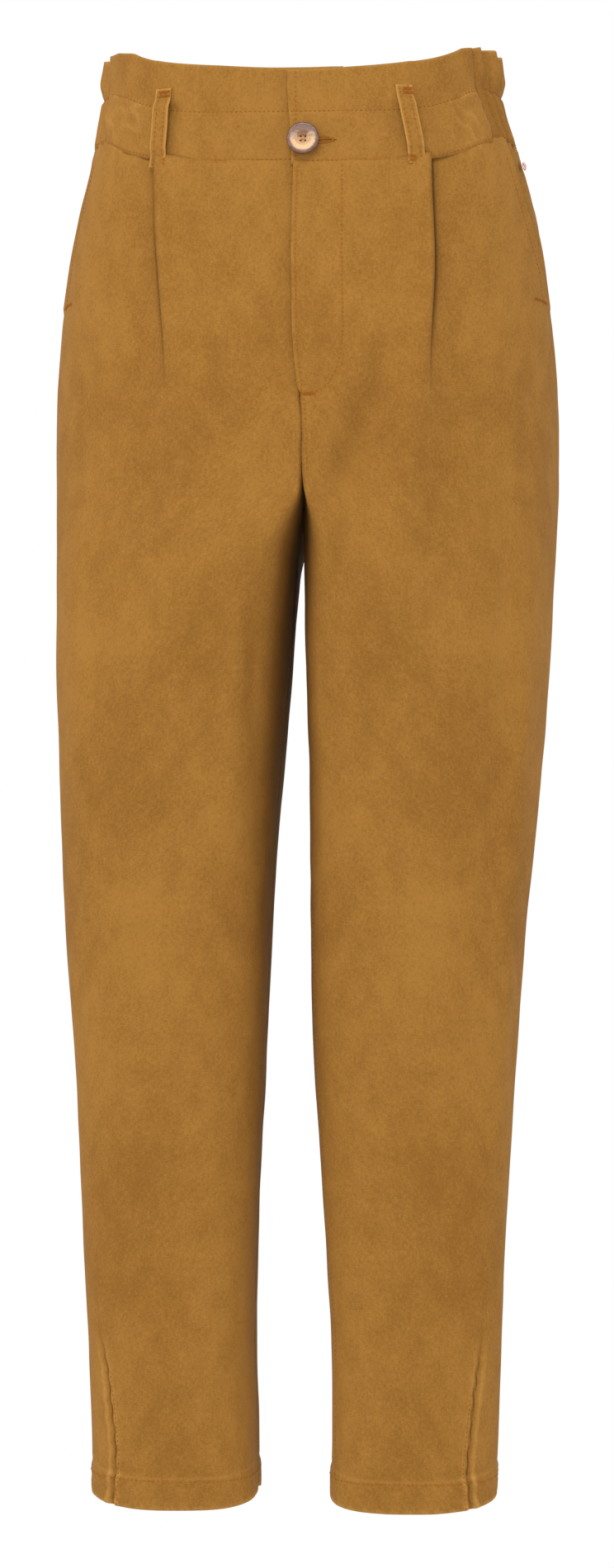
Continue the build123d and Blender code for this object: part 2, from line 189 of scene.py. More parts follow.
class Skin:
    """Smooth surface of one half of the trousers, read by a share along it and a height."""

    steps = 240

    def __init__(self, side, run, inset=0.0):
        self.side = side
        self.run = run
        count = len(HEIGHTS)
        self.x = np.zeros((count, self.steps + 1))
        self.y = np.zeros((count, self.steps + 1))
        self.length = np.zeros(count)
        self.corner = np.zeros(count)
        for number, z in enumerate(HEIGHTS):
            points, corner = self.outline(z, DIMS[:, number], inset)
            gaps = np.hypot(*np.diff(points, axis=0).T)
            arc = np.concatenate(([0.0], np.cumsum(gaps)))
            even = np.linspace(0.0, arc[-1], self.steps + 1)
            self.x[number] = np.interp(even, arc, points[:, 0])
            self.y[number] = np.interp(even, arc, points[:, 1])
            self.length[number] = arc[-1]
            self.corner[number] = arc[corner]

    def outline(self, z, dims, inset):
        outer, gap, front, back, start, end = dims
        leaf = (lap - 0.7) * smooth((z + 266.0) / 20.0) + 0.7 * smooth((z + 335.0) / 20.0)
        leaf = leaf if self.side < 0 else 0.0
        front = front + inset + leaf
        back = back - inset
        middle = (front + back) / 2 - 4.0
        gap = gap - self.side * swing(z) if self.side > 0 else gap + swing(z)
        turn = np.linspace(0.0, math.pi / 2, 60)
        x_in = gap + inset
        x_a = max(x_in, gap + start)
        x_b = gap + end
        x_out = outer - inset

        falling, rising = np.cos(turn).clip(0.0, 1.0), np.sin(turn)

        def inner(edge):
            across = x_a - (x_a - x_in) * falling ** 0.76
            return np.column_stack((across, middle + (edge - middle) * rising ** 0.76))

        def outer_part(edge):
            across = x_b + (x_out - x_b) * rising ** 0.92
            return np.column_stack((across, middle + (edge - middle) * falling ** 0.92))

        flat_count = 12
        across = np.linspace(x_a, x_b, flat_count)
        if self.run == "ring":
            across = np.linspace(0.0, x_b, flat_count)
            front_flat = np.column_stack((across, np.full(flat_count, front)))
            back_flat = np.column_stack((across[::-1], np.full(flat_count, back)))
            parts = (front_flat, outer_part(front)[1:], outer_part(back)[::-1][1:], back_flat[1:])
            return np.vstack(parts), 0
        edge = front if self.run == "front" else back
        flat = np.column_stack((across, np.full(flat_count, edge)))
        parts = (inner(edge), flat[1:], outer_part(edge)[1:])
        return np.vstack(parts), len(turn) - 1

    def row(self, z):
        place = (HEIGHTS[0] - np.asarray(z, float)) / 2.0
        low = np.clip(place.astype(int), 0, len(HEIGHTS) - 2)
        return low, np.clip(place - low, 0.0, 1.0)

    def width(self, z):
        low, part = self.row(z)
        return self.length[low] * (1 - part) + self.length[low + 1] * part

    def corner_at(self, z):
        low, part = self.row(z)
        return self.corner[low] * (1 - part) + self.corner[low + 1] * part

    def at(self, distance, z):
        """Half width and depth at a distance along the outline; below 0 the flat front runs on."""
        low, part = self.row(z)
        total = self.length[low] * (1 - part) + self.length[low + 1] * part
        beyond = np.minimum(distance, 0.0) if self.run == "ring" else np.zeros_like(distance)
        place = np.clip(distance / total, 0.0, 1.0) * self.steps
        left = np.clip(place.astype(int), 0, self.steps - 1)
        across = place - left

        def read(table):
            upper = table[low, left] * (1 - across) + table[low, left + 1] * across
            lower = table[low + 1, left] * (1 - across) + table[low + 1, left + 1] * across
            return upper * (1 - part) + lower * part

        return read(self.x) + beyond, read(self.y)

    def distance_of_x(self, x, z):
        """Distance along the front run at which the outline reaches a half width."""
        low, part = self.row(z)
        found = []
        for index in (low, low + 1):
            table = self.x[index]
            if self.run == "ring":
                table = table[: int(np.argmax(table)) + 1]
                found.append(np.interp(x, table, np.arange(len(table))) / self.steps * self.length[index])
            else:
                corner = int(self.corner[index] / self.length[index] * self.steps)
                marks = np.arange(corner, self.steps + 1)
                found.append(np.interp(x, table[corner:], marks) / self.steps * self.length[index])
        return found[0] * (1 - part) + found[1] * part

    def distance_of_y(self, y, z):
        """Distance along a ring at which the cloth reaches a depth."""
        index = int(self.row(z)[0])
        start = int(self.steps * 0.05)
        marks = np.arange(start, self.steps + 1)
        return float(np.interp(y, self.y[index][start:], marks) / self.steps * self.length[index])

    def place(self, distance, z):
        """Points in the garment's frame and the outward direction at each."""
        distance = np.asarray(distance, float)
        z = np.asarray(z, float)
        x, y = self.at(distance, z)
        x1, y1 = self.at(distance + 1.0, z)
        x0, y0 = self.at(distance - 1.0, z)
        tangent = np.stack((x1 - x0, y1 - y0, np.zeros_like(x)), -1)
        share = distance / self.width(z)
        xu, yu = self.at(share * self.width(z + 3.0), z + 3.0)
        xd, yd = self.at(share * self.width(z - 3.0), z - 3.0)
        rise = np.stack((xu - xd, yu - yd, np.full_like(x, 6.0)), -1)
        out = np.cross(tangent, rise)
        if self.run == "back":
            out = -out
        out /= np.linalg.norm(out, axis=-1, keepdims=True) + 1e-9
        points = np.stack((self.side * x + lean(z), y, z), -1)
        out[..., 0] *= self.side
        return points, out


# ---- folds, ridges and hollows of the hanging cloth ----
FRONT_FOLDS = (
    # side, points as x and z, height out of the cloth, half width
    (1, ((70, -200), (54, -248), (41, -274), (27, -305), (12, -332)), -9.0, 14),
    (1, ((56, -262), (42, -300), (30, -345), (25, -372), (22, -440)), -5.0, 13),
    (1, ((92, -200), (76, -285), (62, -370), (56, -480)), 3.5, 17),
    (1, ((160, -300), (153, -400), (149, -480), (143, -572), (135, -710), (129, -825)), 2.6, 8),
    (1, ((144, -330), (139, -420), (134, -520), (128, -640)), -1.8, 9),
    (1, ((62, -560), (70, -640), (80, -720)), 1.4, 16),
    (1, ((28, -330), (24, -420), (27, -520), (30, -640)), -1.6, 8),
    (-1, ((-32, -330), (-27, -400), (-26, -480), (-28, -600)), -3.0, 8),
    (-1, ((-52, -290), (-46, -400), (-44, -500), (-44, -620)), 2.5, 12),
    (-1, ((-58, -200), (-38, -258), (-20, -300), (-8, -330)), -4.5, 13),
    (-1, ((-150, -300), (-152, -400), (-150, -500), (-146, -610)), 2.0, 10),
    (-1, ((-118, -290), (-122, -400), (-124, -520)), -1.2, 12),
    (-1, ((-78, -520), (-84, -620), (-92, -700)), 1.5, 16),
    (-1, ((-62, -700), (-70, -800), (-80, -900)), -1.0, 18),
    (1, ((50, -720), (62, -820), (70, -930)), -1.0, 16),
)


HEM_DARTS = {
    1: ((126, -864), (118, -926), (113, -977), (115, -1008)),
    -1: ((-145, -862), (-135, -913), (-131, -947), (-129, -969), (-131, -1008)),
}


def along_path(points, x, z):
    """Distance to a bent line and how far along it the nearest place lies."""
    best = np.full(np.shape(x), 1e9)
    where = np.zeros(np.shape(x))
    count = len(points) - 1
    for number in range(count):
        (x0, z0), (x1, z1) = points[number], points[number + 1]
        span = (x1 - x0) ** 2 + (z1 - z0) ** 2
        part = np.clip(((x - x0) * (x1 - x0) + (z - z0) * (z1 - z0)) / span, 0.0, 1.0)
        gap = np.hypot(x - x0 - part * (x1 - x0), z - z0 - part * (z1 - z0))
        where = np.where(gap < best, (number + part) / count, where)
        best = np.minimum(gap, best)
    return best, where


def ripple(points, size, seed):
    """Smooth unevenness of the cloth, drawn out along its height."""
    flat = points.reshape(-1, 3)
    values = [
        noise.noise(Vector((p[0] / size[0] + seed, p[1] / size[0], p[2] / size[1]))) for p in flat
    ]
    return np.array(values).reshape(points.shape[:-1])


def fold_relief(side, points, facing):
    """Height of the drawn folds at each point of a front panel."""
    x, z = points[..., 0], points[..., 2]
    total = np.zeros_like(x)
    for where, path, height, width in FRONT_FOLDS:
        if where != side:
            continue
        gap, share = along_path(path, x, z)
        ends = smooth(share / 0.25) * smooth((1 - share) / 0.3)
        total += height * bump(gap, width) * ends
    return total * facing


# ---- meshes ----
def build(name, points, faces, uv, wear_and_painted_light):
    """Mesh object from millimetre points, with its own surface coordinates and a mark of dye wear and painted
    light.
    """
    mesh = bpy.data.meshes.new(name)
    mesh.from_pydata((np.asarray(points) * mm).tolist(), [], faces)
    layer = mesh.uv_layers.new(name="cloth")
    corners = np.zeros(len(mesh.loops), int)
    mesh.loops.foreach_get("vertex_index", corners)
    layer.data.foreach_set("uv", (np.asarray(uv)[corners] * mm).astype(np.float32).ravel())
    mark = mesh.attributes.new("wear_and_painted_light", "FLOAT", "POINT")
    mark.data.foreach_set("value", np.asarray(wear_and_painted_light, np.float32))
    mesh.polygons.foreach_set("use_smooth", np.ones(len(mesh.polygons), bool))
    piece = bpy.data.objects.new(name, mesh)
    bpy.context.scene.collection.objects.link(piece)
    return piece


def sheet_from_grid(name, points, out, uv, wear_and_painted_light, holes=None):
    """Mesh from a grid of points; rows may leave places empty, marked by nan."""
    shape = points.shape[:2]
    present = ~np.isnan(points[..., 0])
    index = np.full(shape, -1)
    index[present] = np.arange(present.sum())
    a, b = index[:-1, :-1], index[:-1, 1:]
    c, d = index[1:, 1:], index[1:, :-1]
    keep = (a >= 0) & (b >= 0) & (c >= 0) & (d >= 0)
    if holes is not None:
        keep &= ~holes
    faces = np.stack((a[keep], d[keep], c[keep], b[keep]), -1)
    flat = points[present]
    normal = np.cross(flat[faces[:, 3]] - flat[faces[:, 0]], flat[faces[:, 1]] - flat[faces[:, 0]])
    if np.nansum(normal * out[present][faces[:, 0]]) > 0:
        faces = faces[:, ::-1]
    return build(name, flat, faces.tolist(), uv[present], wear_and_painted_light[present])


def settle(piece, thickness=cloth, offset=-1.0):
    """Give a sheet its thickness and turn the result into a plain mesh."""
    solid = piece.modifiers.new("thickness", "SOLIDIFY")
    solid.thickness = thickness * mm
    solid.offset = offset
    solid.use_even_offset = False
    graph = bpy.context.evaluated_depsgraph_get()
    mesh = bpy.data.meshes.new_from_object(piece.evaluated_get(graph))
    piece.modifiers.clear()
    piece.data = mesh
    return piece


def side_of(name, side):
    """Name of a piece with the wearer's side before it."""
    return ("left_" if side > 0 else "right_") + name


def dress(piece, material):
    """Put one material on a piece."""
    piece.data.materials.clear()
    piece.data.materials.append(material)
    return piece


# ---- materials ----
class Value:
    """A number that changes over a surface, written as plain maths."""

    def __init__(self, bench, socket):
        self.bench = bench
        self.socket = socket

    def __add__(self, other):
        return self.bench.maths("ADD", self, other)

    __radd__ = __add__

    def __mul__(self, other):
        return self.bench.maths("MULTIPLY", self, other)

    __rmul__ = __mul__

    def __sub__(self, other):
        return self.bench.maths("SUBTRACT", self, other)

    def __rsub__(self, other):
        return self.bench.maths("SUBTRACT", other, self)

    def __pow__(self, other):
        return self.bench.maths("POWER", self, other)

    def ease(self, low, high):
        """0 below low, 1 above high, smooth between."""
        settings = {"interpolation_type": "SMOOTHSTEP"}
        return self.bench.node("ShaderNodeMapRange", settings, Value=self,
                               From_Min=low, From_Max=high)


class Bench:
    """Material under construction, with one way to add any node."""

    def __init__(self, name):
        self.material = bpy.data.materials.new(name)
        self.material.use_nodes = True
        self.tree = self.material.node_tree
        self.tree.nodes.clear()

    def node(self, kind, settings=None, take=0, **inputs):
        """Any node, its settings first, then its sockets by name, or by number as _0."""
        made = self.tree.nodes.new(kind)
        for key, value in (settings or {}).items():
            setattr(made, key, value)
        for key, value in inputs.items():
            spot = int(key[1:]) if key[1:].isdigit() else key.replace("_", " ")
            if isinstance(value, Value):
                self.tree.links.new(value.socket, made.inputs[spot])
            else:
                made.inputs[spot].default_value = value
        usable = [socket for socket in made.outputs if socket.enabled]
        chosen = made.outputs[take] if isinstance(take, str) else usable[take]
        return Value(self, chosen)

    def maths(self, operation, first, second):
        """Math node on two values or numbers."""
        return self.node("ShaderNodeMath", {"operation": operation}, _0=first, _1=second)

    def tint(self, dark, light, share):
        settings = {"data_type": "RGBA"}
        return self.node("ShaderNodeMix", settings, _0=share, _6=dark, _7=light)

    def grain(self, where, scale, detail=3.0, rough=0.5, stretch=(1, 1, 1)):
        spread = self.node("ShaderNodeMapping", None, Vector=where, Scale=stretch)
        return self.node("ShaderNodeTexNoise", None, Vector=spread, Scale=scale,
                         Detail=detail, Roughness=rough)

    def finish(self, colour, roughness, height=None, depth=0.0002, metallic=0.0, **extra):
        inputs = {"Base_Color": colour, "Roughness": roughness, "Metallic": metallic}
        inputs.update(extra)
        if height is not None:
            inputs["Normal"] = self.node("ShaderNodeBump", None, Height=height,
                                         Distance=depth, Strength=1.0)
        shader = self.node("ShaderNodeBsdfPrincipled", None, **inputs)
        self.node_out = self.tree.nodes.new("ShaderNodeOutputMaterial")
        self.tree.links.new(shader.socket, self.node_out.inputs["Surface"])
        return self.material


def shade(red, green, blue):
    """Linear colour from the ordinary 0-255 mix of a dye card."""
    values = []
    for part in (red, green, blue):
        share = part / 255.0
        values.append(share / 12.92 if share < 0.04045 else ((share + 0.055) / 1.055) ** 2.4)
    return (*values, 1.0)


def twill(name, base, light, dark, deep, ribs=900.0):
    """Garment-dyed cotton twill: diagonal ribs, slub, dye rubbed off on edges, painted highlights on ridges
    and painted shade in creases.
    """
    bench = Bench(name)
    where = bench.node("ShaderNodeUVMap", {"uv_map": "cloth"})
    wave = {"wave_type": "BANDS", "bands_direction": "DIAGONAL", "wave_profile": "SIN"}
    rib = bench.node("ShaderNodeTexWave", wave, take="Fac", Vector=where, Scale=ribs * 0.32,
                     Distortion=1.2, Detail=2.0, Detail_Scale=2.0)
    slub = bench.grain(where, 620.0, 4.0, 0.65, (1.0, 0.5, 1.0))
    heather = bench.grain(where, 900.0, 2.0, 0.6, (0.5, 1.6, 1.0))
    cloud = bench.grain(where, 9.0, 4.0, 0.55, (1.0, 0.7, 1.0))
    wear_and_light_mask = bench.node("ShaderNodeAttribute", {"attribute_name": "wear_and_painted_light"}, take="Fac")
    # Light tint: rubbed-off dye plus painted highlights; the deep tint below is painted shade in creases and
    # grooves.
    rub_and_highlight = wear_and_light_mask.ease(0.05, 1.0) * (0.45 + slub * 0.9)
    painted_shade = (0.0 - wear_and_light_mask).ease(0.02, 1.0)
    patch = bench.grain(where, 75.0, 4.0, 0.6, (1.0, 0.6, 1.0))
    mottle = cloud * 0.65 + patch * 0.38 + heather * 0.5 + slub * 0.6
    body = bench.tint(dark, base, mottle.ease(0.82, 1.3))
    colour = bench.tint(bench.tint(body, light, rub_and_highlight), deep, painted_shade * 0.85)
    height = rib * 0.28 + slub * 0.6 + heather * 0.5
    rough = 0.84 + heather * 0.12
    return bench.finish(colour, rough, height, 0.00022, Sheen_Weight=0.12, Sheen_Roughness=0.5,
                        Sheen_Tint=light, Specular_IOR_Level=0.12)


ochre = shade(136, 95, 39)
ochre_light = shade(161, 118, 58)
ochre_dark = shade(113, 74, 25)
# Darkest ochre, painted as shade into creases, grooves, the middle seam and beside the pleat.
painted_shade_ochre = shade(62, 36, 10)
twill_cloth = twill("ochre_twill", ochre, ochre_light, ochre_dark, painted_shade_ochre)
band_cloth = twill("ochre_twill_band", shade(135, 94, 39), ochre_light, shade(112, 73, 25), painted_shade_ochre)
pocket_cloth = twill("ochre_pocketing", shade(150, 112, 58), shade(166, 126, 70),
                     shade(132, 92, 42), painted_shade_ochre, 1300.0)


def thread_finish():
    """Spun thread: two plies twisted round each other, a little lustre."""
    bench = Bench("ochre_thread")
    where = bench.node("ShaderNodeTexCoord", None, take="Object")
    fuzz = bench.grain(where, 2600.0, 2.0)
    colour = bench.tint(shade(126, 70, 16), shade(156, 94, 30), fuzz.ease(0.3, 0.75))
    return bench.finish(colour, 0.75 + fuzz * 0.2, fuzz, 0.00008, Specular_IOR_Level=0.1)


def elastic_finish():
    """Woven elastic: ribs along its length on a dyed ground."""
    bench = Bench("ribbed_elastic")
    where = bench.node("ShaderNodeUVMap", {"uv_map": "cloth"})
    wave = {"wave_type": "BANDS", "bands_direction": "Y", "wave_profile": "SIN"}
    rib = bench.node("ShaderNodeTexWave", wave, take="Fac", Vector=where, Scale=160.0)
    fuzz = bench.grain(where, 800.0)
    colour = bench.tint(shade(150, 118, 76), shade(176, 148, 108), rib * 0.6 + fuzz * 0.4)
    return bench.finish(colour, 0.75 + fuzz * 0.1, rib + fuzz * 0.3, 0.0003)


def tape_finish():
    """Zip tape: fine herringbone, dyed with the garment."""
    bench = Bench("herringbone_tape")
    where = bench.node("ShaderNodeUVMap", {"uv_map": "cloth"})
    wave = {"wave_type": "BANDS", "bands_direction": "DIAGONAL", "wave_profile": "TRI"}
    rib = bench.node("ShaderNodeTexWave", wave, take="Fac", Vector=where, Scale=420.0)
    fuzz = bench.grain(where, 900.0)
    colour = bench.tint(shade(116, 78, 30), shade(148, 106, 50), rib * 0.5 + fuzz * 0.5)
    return bench.finish(colour, 0.8, rib + fuzz * 0.4, 0.00018)


def metal_finish(name, bright, dull, polish):
    """Small plated metal part: fine handling scratches and duller patches."""
    bench = Bench(name)
    where = bench.node("ShaderNodeTexCoord", None, take="Object")
    cloud = bench.grain(where, 320.0, 3.0)
    scratch = bench.grain(where, 900.0, 4.0, 0.7, (1.0, 1.0, 0.08))
    colour = bench.tint(dull, bright, cloud.ease(0.3, 0.65))
    rough = polish + cloud * 0.12 + scratch * 0.1
    return bench.finish(colour, rough, scratch, 0.00004, metallic=1.0)


thread = thread_finish()
elastic = elastic_finish()
tape = tape_finish()
brass = metal_finish("aged_brass", shade(214, 178, 112), shade(150, 116, 66), 0.22)
rose_metal = metal_finish("rose_metal", shade(226, 178, 158), shade(186, 134, 116), 0.2)


def horn_finish():
    """Horn-like button: mauve-brown rim round a pale, swirled, polished middle."""
    bench = Bench("horn_button")
    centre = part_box("button")
    middle = [(low + high) / 2 for low, high in zip(centre[0], centre[1])]
    where = bench.node("ShaderNodeTexCoord", None, take="Object")
    away = bench.node("ShaderNodeVectorMath", {"operation": "DISTANCE"}, take="Value",
                      _0=where, _1=middle)
    swirl = bench.grain(where, 190.0, 3.0, 0.6, (1.0, 1.0, 2.2))
    speck = bench.grain(where, 900.0, 2.0)
    parts = bench.node("ShaderNodeSeparateXYZ", None, take="Z", Vector=where)
    # Pale middle darker towards its top, lighter towards its foot.
    upper = (parts - middle[2]) * 110.0 + swirl * 1.6
    pale = bench.tint(shade(186, 148, 106), shade(92, 56, 40), upper.ease(0.3, 1.6))
    rim = bench.tint(shade(48, 25, 18), shade(108, 68, 46), (swirl * 0.7 + speck * 0.3).ease(0.3, 0.7))
    edge = (away + swirl * 0.0016).ease(0.0086, 0.0102)
    colour = bench.tint(pale, rim, edge)
    return bench.finish(colour, 0.24 + speck * 0.12, speck, 0.00003, Coat_Weight=0.15,
                        Coat_Roughness=0.1)


horn = horn_finish()

# ---- leg panels ----
TOP_ROWS, JOIN_ROWS, LEG_ROWS = 56, 46, 160
INNER_COLUMNS, NEAR_COLUMNS, STEP_COLUMNS, FAR_COLUMNS = 22, 32, 4, 46

rise_points = ((-135.0, -262.0), (12.0, -318.0), (152.0, -232.0))


def rise_circle():
    """Centre and radius of the crotch curve in the middle plane."""
    (ax, ay), (bx, by), (cx, cy) = rise_points
    twist = 2 * (ax * (by - cy) + bx * (cy - ay) + cx * (ay - by))
    a2, b2, c2 = ax * ax + ay * ay, bx * bx + by * by, cx * cx + cy * cy
    x = (a2 * (by - cy) + b2 * (cy - ay) + c2 * (ay - by)) / twist
    y = (a2 * (cx - bx) + b2 * (ax - cx) + c2 * (bx - ax)) / twist
    return x, y, math.hypot(ax - x, ay - y)


rise_y, rise_z, rise_radius = rise_circle()


def rise_height(y):
    """Height of the crotch curve at a depth."""
    return rise_z - np.sqrt(rise_radius ** 2 - np.square(y - rise_y))


def panel_heights(top, join_top):
    """Heights of a panel's rows for one column."""
    upper = np.linspace(top, join_top, TOP_ROWS + 1)
    middle = np.linspace(join_top, knee_join, JOIN_ROWS + 1)[1:]
    lower = np.linspace(knee_join, hem_z, LEG_ROWS + 1)[1:]
    return np.concatenate((upper, middle, lower))


def hem_and_seams(distance, climb, total):
    """Small relief shared by every panel: seams, hem and pressed-in stitch lines."""
    relief = -0.9 * bump(total - distance, 3.0) - 0.7 * bump(distance, 3.0)
    relief += 0.7 * smooth((hem_turn + 1 - climb) / 2.0)
    relief -= 0.5 * bump(climb - hem_turn, 2.0)
    return relief


def fade_pleat(z):
    """Share of the pleat's height left at a level."""
    return smooth((z + 266.0) / 120.0)


def meeting(skin, curve, height):
    """Distance along the front run at which it meets a curve of half widths."""
    found = [skin.distance_of_x(curve(float(h)), float(h)) for h in np.atleast_1d(height)]
    return np.array(found).reshape(np.shape(height))


class LegPanel:
    """One leg panel from the waist seam to the hem, as rows and columns of points."""

    def __init__(self, side, front):
        self.side = side
        self.front = front
        self.skin = Skin(side, "front" if front else "back")
        self.join_top = float(rise_height(front_join_y if front else back_join_y))
        corner = float(self.skin.corner_at(self.join_top))
        self.corner_share = corner / float(self.skin.width(self.join_top))
        self.edge_x = 0.0
        if front:
            self.edge_x = flap_edge if side > 0 else under_edge
        self.lay_out()
        self.place()
        self.measure()

    def shared(self, height):
        """Distance to the column that runs down from the centre seam."""
        below = smooth((self.join_top - height) / 120.0)
        start = self.edge_x * smooth((height - fly_bottom) / 5.0)
        lower = self.corner_share * self.skin.width(height)
        return self.skin.corner_at(height) * (1 - below) + lower * below + start

    def pleat(self, height):
        """Distance to the pleat's fold, and below it to an even column."""
        high = self.skin.corner_at(height) + 84.0
        if self.front:
            high = meeting(self.skin, lambda level: pleat_x(self.side, level), height)
        start = self.shared(height)
        low = start + 0.35 * (self.skin.width(height) - start)
        below = smooth((fly_bottom - height) / 120.0)
        return high * (1 - below) + low * below

    def outer_end(self, height):
        """Distance to the side seam, or to the pocket mouth where there is one."""
        total = self.skin.width(height)
        if not self.front:
            return total
        mouth = meeting(self.skin, lambda level: mouth_x(self.side, level), height)
        below = smooth((mouth_end[1] - height) / mouth_fade)
        return mouth * (1 - below) + total * below

    def column(self, number, heights):
        """Distances down one of the columns outside the centre seam's own."""
        start, step, end = self.shared(heights), self.pleat(heights), self.outer_end(heights)
        band = step + 2.4
        if number <= NEAR_COLUMNS:
            return start + (step - start) * number / NEAR_COLUMNS
        if number <= NEAR_COLUMNS + STEP_COLUMNS:
            return step + (band - step) * (number - NEAR_COLUMNS) / STEP_COLUMNS
        return band + (end - band) * ((number - NEAR_COLUMNS - STEP_COLUMNS) / FAR_COLUMNS)

    def lay_out(self):
        """Heights and distances of the grid; the corner above the crotch stays empty."""
        outer_count = NEAR_COLUMNS + STEP_COLUMNS + FAR_COLUMNS
        shape = (TOP_ROWS + JOIN_ROWS + LEG_ROWS + 1, INNER_COLUMNS + outer_count + 1)
        self.z = np.full(shape, np.nan)
        self.distance = np.full(shape, np.nan)
        for number in range(outer_count + 1):
            top = seam_front if self.front else seam_side + tuck
            for turn in range(3):
                heights = panel_heights(top, self.join_top)
                here = self.column(number, heights)
                if not self.front:
                    break
                depth = self.skin.at(here[:1], heights[:1])[1]
                top = float(waist_seam(depth[0])) + tuck
            self.z[:, INNER_COLUMNS + number] = heights
            self.distance[:, INNER_COLUMNS + number] = here
        for number in range(INNER_COLUMNS):
            share = number / INNER_COLUMNS
            top = self.join_top
            for turn in range(4):
                depth = self.skin.at(np.array([share * self.shared(top)]), np.array([top]))[1]
                top = float(rise_height(np.clip(depth[0], rise_points[0][0] + 5, rise_points[2][0] - 7)))
            heights = panel_heights(top, top)[TOP_ROWS:]
            self.z[TOP_ROWS:, number] = heights
            self.distance[TOP_ROWS:, number] = share * self.shared(heights)

    def place(self):
        """Points on the smooth body, straight across the centre seam."""
        z, distance, skin = self.z, self.distance, self.skin
        self.present = ~np.isnan(z)
        self.level = np.nan_to_num(z)
        self.points = np.full((*z.shape, 3), np.nan)
        self.out = np.full((*z.shape, 3), np.nan)
        present = self.present
        self.points[present], self.out[present] = skin.place(distance[present], z[present])
        self.corner = skin.corner_at(self.level)
        if self.front:
            before = (distance < self.corner) & (self.level > self.join_top)
            corner = skin.corner_at(z[before])
            straight, straight_out = skin.place(corner + 2.0, z[before])
            self.points[before, 1] = straight[:, 1]
            self.points[before, 0] = self.side * (distance[before] - corner)
            self.out[before] = straight_out

    def measure(self):
        """What the relief and the wear of the cloth are worked out from."""
        z, distance, corner = self.z, self.distance, self.corner
        self.total = self.skin.width(self.level)
        self.seam_gap = np.nan_to_num(distance - corner)
        self.joined = smooth((z - self.join_top + 4.0) / 8.0)
        if self.front:
            self.joined = self.joined * (z < fly_bottom - 1)
        at_middle = (np.abs(self.seam_gap) < 2.2) & (self.joined > 0.0) & self.present
        self.out[at_middle] = self.skin.place(corner[at_middle] + 3.0, z[at_middle])[1]
        self.filled = np.where(np.isnan(self.points), 0.0, self.points)
        self.facing = smooth((-self.out[..., 1] - 0.15) / 0.4) if self.front else np.ones_like(z)
        self.depth_below = waist_seam(self.filled[..., 1]) + tuck - z
        self.climb = z - hem_z
        self.in_hem = smooth((hem_turn - self.climb) / 3.0)
        self.roping = np.sin((np.nan_to_num(distance) + 0.8 * self.climb) * 2 * math.pi / 10.0)
        self.dart_gap, share = along_path(HEM_DARTS[self.side], self.filled[..., 0], z)
        self.dart_fade = smooth(share / 0.3) * smooth((self.facing - 0.02) / 0.1) * self.front
        if self.front:
            step = np.empty_like(z)
            step[self.present] = self.pleat(z[self.present])
            self.pleat_gap = distance - step
            levels = np.linspace(-60, -200, 71)
            marks = np.interp(-self.level, -levels, self.outer_end(levels))
            self.mouth_gap = np.where(z > mouth_end[1], marks - distance, 99.0)

    def dying(self, reach):
        """Share of a gather left this far below the waist seam."""
        return np.exp(-np.clip(self.depth_below, 0, None) / reach)

    def gathers(self):
        """Gathers that the elastic pulls into the back."""
        arc = np.nan_to_num(self.distance)
        phase = arc * 2 * math.pi / 14.0 + 2.2 * np.sin(arc / 23.0 + self.side)
        return 1.9 * np.sin(phase) * self.dying(30.0) + 1.0 * np.sin(phase * 0.5 + 1.0) * self.dying(60.0)

    def front_relief(self):
        """Folds, pleat, fly flap and pocket mouth of a front panel."""
        z, gap = self.z, self.pleat_gap
        relief = fold_relief(self.side, self.filled, self.facing)
        fade = smooth((-z - 60.0) / 20.0) * fade_pleat(z)
        relief += fade * np.where(gap < 0, pleat_rise * np.exp(gap / 18.0), 0.0)
        ledge = smooth(gap / 1.8)
        dip = pleat_rise * (1 - ledge) - pleat_dip * ledge * np.exp(-gap / 15.0)
        relief += fade * np.where(gap >= 0, dip, 0.0)
        long_fade = smooth((-z - 120.0) / 90.0) * smooth((z + 470.0) / 230.0)
        relief += long_fade * (2.4 * bump(gap + 12.0, 16.0) - 2.8 * bump(gap - 12.0, 13.0))
        flap = smooth((z - fly_bottom + 6.0) / 10.0) * bump(self.distance - self.corner - 14.0, 16.0)
        relief += 1.1 * flap * ripple(self.filled, (7.0, 17.0), 21.0) * (self.side > 0)
        return relief + 0.9 * bump(self.mouth_gap, 5.0) - 0.5 * bump(self.mouth_gap - 6.5, 1.6)

    def relief(self):
        """How far each point stands out of the smooth body."""
        climb, dart_gap, dart_fade = self.climb, self.dart_gap, self.dart_fade
        relief = hem_and_seams(self.distance, climb, self.total)
        if not self.front:
            relief += self.gathers()
        hang = smooth(self.depth_below / 90.0)
        relief += 1.7 * ripple(self.filled, (52.0, 150.0), 3.0 * self.side) * hang
        relief += 0.5 * ripple(self.filled, (15.0, 34.0), 9.0 + self.side)
        relief -= 1.5 * smooth((tuck - 1.0 - self.depth_below) / 4.0)
        if self.front:
            relief += self.front_relief()
        relief -= 1.6 * bump(dart_gap, 2.0) * dart_fade
        relief += 0.9 * bump(dart_gap - 3.2, 2.2) * dart_fade
        relief += 0.6 * np.sin(climb * 2 * math.pi / 14.0) * bump(dart_gap, 10.0) * dart_fade
        relief += 0.35 * self.roping * self.in_hem * smooth(climb / 4.0)
        relief *= 1 - self.joined * (1 - smooth(np.abs(self.seam_gap) / 12.0))
        return relief - 0.9 * bump(self.seam_gap, 2.4) * self.joined

